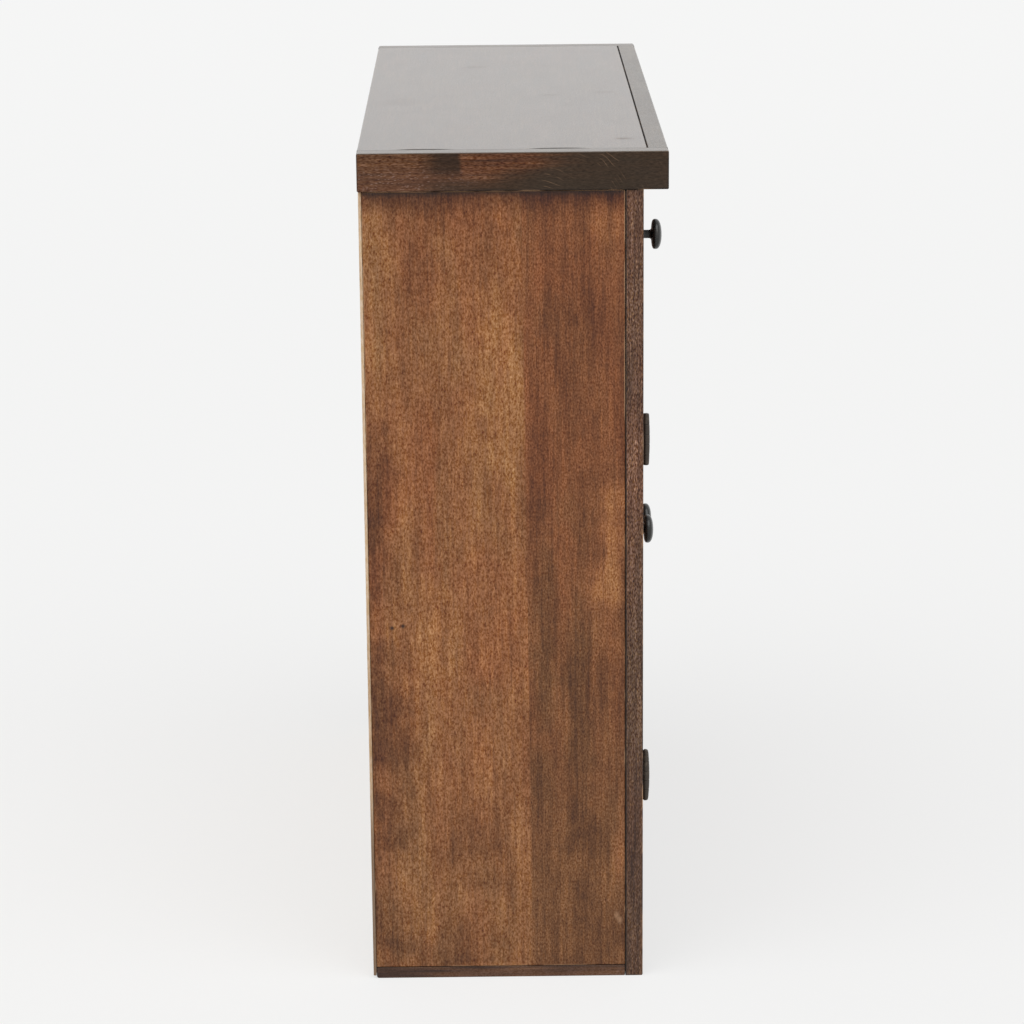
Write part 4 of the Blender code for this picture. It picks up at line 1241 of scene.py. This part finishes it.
# %% Wear the ends of the top
# The front half has a grey film, and the rear half is dull and dusty low down. One dark spot stays at the rear.
END_STAIN = (beneath(47, 32, 23), beneath(97, 68, 51), beneath(147, 106, 78))
GREYED = beneath(64, 56, 49)
DULLED = beneath(98, 75, 65)
DUSTY = beneath(158, 130, 118)
SPOT = beneath(52, 46, 35)
WIPING_CENTRE = (0.025, 0.780)
for name, side in SIDES.items():
    board = Board(f"top_strip_{name}", "Y")
    outer_x = board.low.x if side < 0 else board.high.x
    outside = board.fade(board.apart(board.x, outer_x), 0.003, 0.001)
    rear = board.times(board.y, -float(side))
    along = board.shift(rear, board.rim, 0.020)
    lower = board.fade(board.z, 0.856, 0.838)
    board.draw(clouds=0.5, figure=0.5, lines=0.9)
    board.warm_up()
    board.lighten(board.fade(rear, 0.090, 0.010), -0.15)
    board.stain(END_STAIN, speckle=3.5, fine=0.0011, stretch=4.0, flecks=0.6)

    dulled = board.times(board.fade(along, 0.020, 0.080), lower)
    board.cover(dulled, DULLED, 0.35)
    dusty = board.use(pores, Place=board.grain, Width=0.0013, Stretch=3.0, Share=0.45)
    board.cover(board.times(dusty, dulled), DUSTY, 0.55)
    low_edge = board.times(board.fade(board.z, 0.846, 0.828), board.fade(along, 0.110, 0.060))
    board.cover(low_edge, GREYED, 0.70)
    greyed = board.fade(board.shift(along, lower, -0.050), -0.005, -0.075)
    film = board.vectors("MULTIPLY", board.shift(1.0, board.speck, 1.1), GREYED[:3])
    board.cover(board.times(greyed, outside), film, 0.86)
    wobbly = board.shift(rear, board.rim, 0.008)
    spot = board.times(board.fade(wobbly, 0.054, 0.059), board.fade(wobbly, 0.104, 0.072))
    board.cover(board.times(spot, board.fade(board.z, 0.835, 0.849), outside), SPOT, 0.84)

    centre = (outer_x, side * WIPING_CENTRE[0], WIPING_CENTRE[1])
    lines = board.use(wiped_scratches, Place=board.place, Centre=centre)
    used = board.times(board.fade(rear, -0.006, -0.030), board.fade(rear, -0.135, -0.085, 0.25, 1.0))
    board.cover(board.times(lines, used), PALE_WOOD, 0.28)
    board.grime(0.5, width=0.0022)
    board.rub(0.40)
    board.cover(board.fade(board.z, board.high.z - 0.0012, board.high.z - 0.0004), TOP_STAIN[1])
    below = board.fade(board.z, board.high.z - 0.0002, board.high.z - 0.0012)
    board.finish(roughness=0.44, relief=0.25, coat=0.9, bare=below)
print("varnished the top")

# %% [markdown]
# ## Doors and drawers
# The doors' panels are veneered like the sides. Inside, the boards only had a thin stain, the drawers' sides are
# bare pale wood, and the back and the drawers' bottoms are raw plywood, whose figure is wide and wavy because its
# leaves are peeled off a turning log.

# %% Finish the panels and the inside
PANEL = (beneath(84, 54, 38), beneath(130, 87, 59), beneath(166, 119, 80))
INSIDE = (beneath(84, 60, 44), beneath(122, 90, 66), beneath(156, 122, 92))
for name in SIDES:
    board = Board(f"door_panel_{name}", "Z")
    board.warm_up(amount=2.6, width=0.035)
    board.draw(cloud_width=0.040, figure_width=0.009)
    board.lighten(board.fade(board.edge, 0.028, 0.004), -0.12)
    board.stain(PANEL, fine=0.0013, flecks=0.12)
    board.finish()
for name in ("bottom_panel", "shelf", "drawer_divider"):
    board = Board(name, "X")
    board.warm_up(amount=1.2)
    board.draw(clouds=0.9)
    board.stain(INSIDE, speckle=1.5, flecks=0.15)
    board.rub(0.35)
    board.finish(roughness=0.55)

# %% Finish the bare woods
BARE = (as_seen(140, 110, 80), as_seen(183, 156, 122), as_seen(208, 184, 150))
PLYWOOD = (as_seen(156, 126, 94), as_seen(203, 178, 147), as_seen(224, 203, 174))
PLYWOOD_DIRT = as_seen(104, 82, 66)
lengthways = on_both_sides("drawer_side", "_inner", "_outer") + on_both_sides("drawer_kicker")
lengthways += on_both_sides("drawer_runner") + ["drawer_runner_middle"]
crossways = on_both_sides("drawer_back") + on_both_sides("drawer_stop")
for name in lengthways + crossways:
    board = Board(name, "Y" if name in lengthways else "X")
    board.draw(clouds=0.5, figure=0.9, lines=1.2)
    board.stain(BARE, speckle=0.8, stretch=4.0, flecks=0.0)
    board.grime(0.3, width=0.0015)
    board.finish(roughness=0.65, relief=0.25)
for name in ["back_panel"] + on_both_sides("drawer_bottom"):
    board = Board(name, "X" if name != "back_panel" else "Z")
    board.draw(clouds=0.6, cloud_width=0.070, figure=0.7, figure_width=0.014, lines=0.8)
    board.stain(PLYWOOD, speckle=0.7, stretch=5.0, flecks=0.0)
    if name == "back_panel":
        from_side = board.maths("SUBTRACT", board.high.x, board.maths("ABSOLUTE", board.x))
        low_edge = board.times(board.fade(from_side, 0.003, 0.001), board.fade(board.z, 0.24, 0.13))
        board.cover(low_edge, PLYWOOD_DIRT, 0.8)
    board.finish(roughness=0.72, relief=0.2)
for name in SIDES:
    paint(nodes[f"door_strike_{name}"], steel)
print("every solid part has its finish")
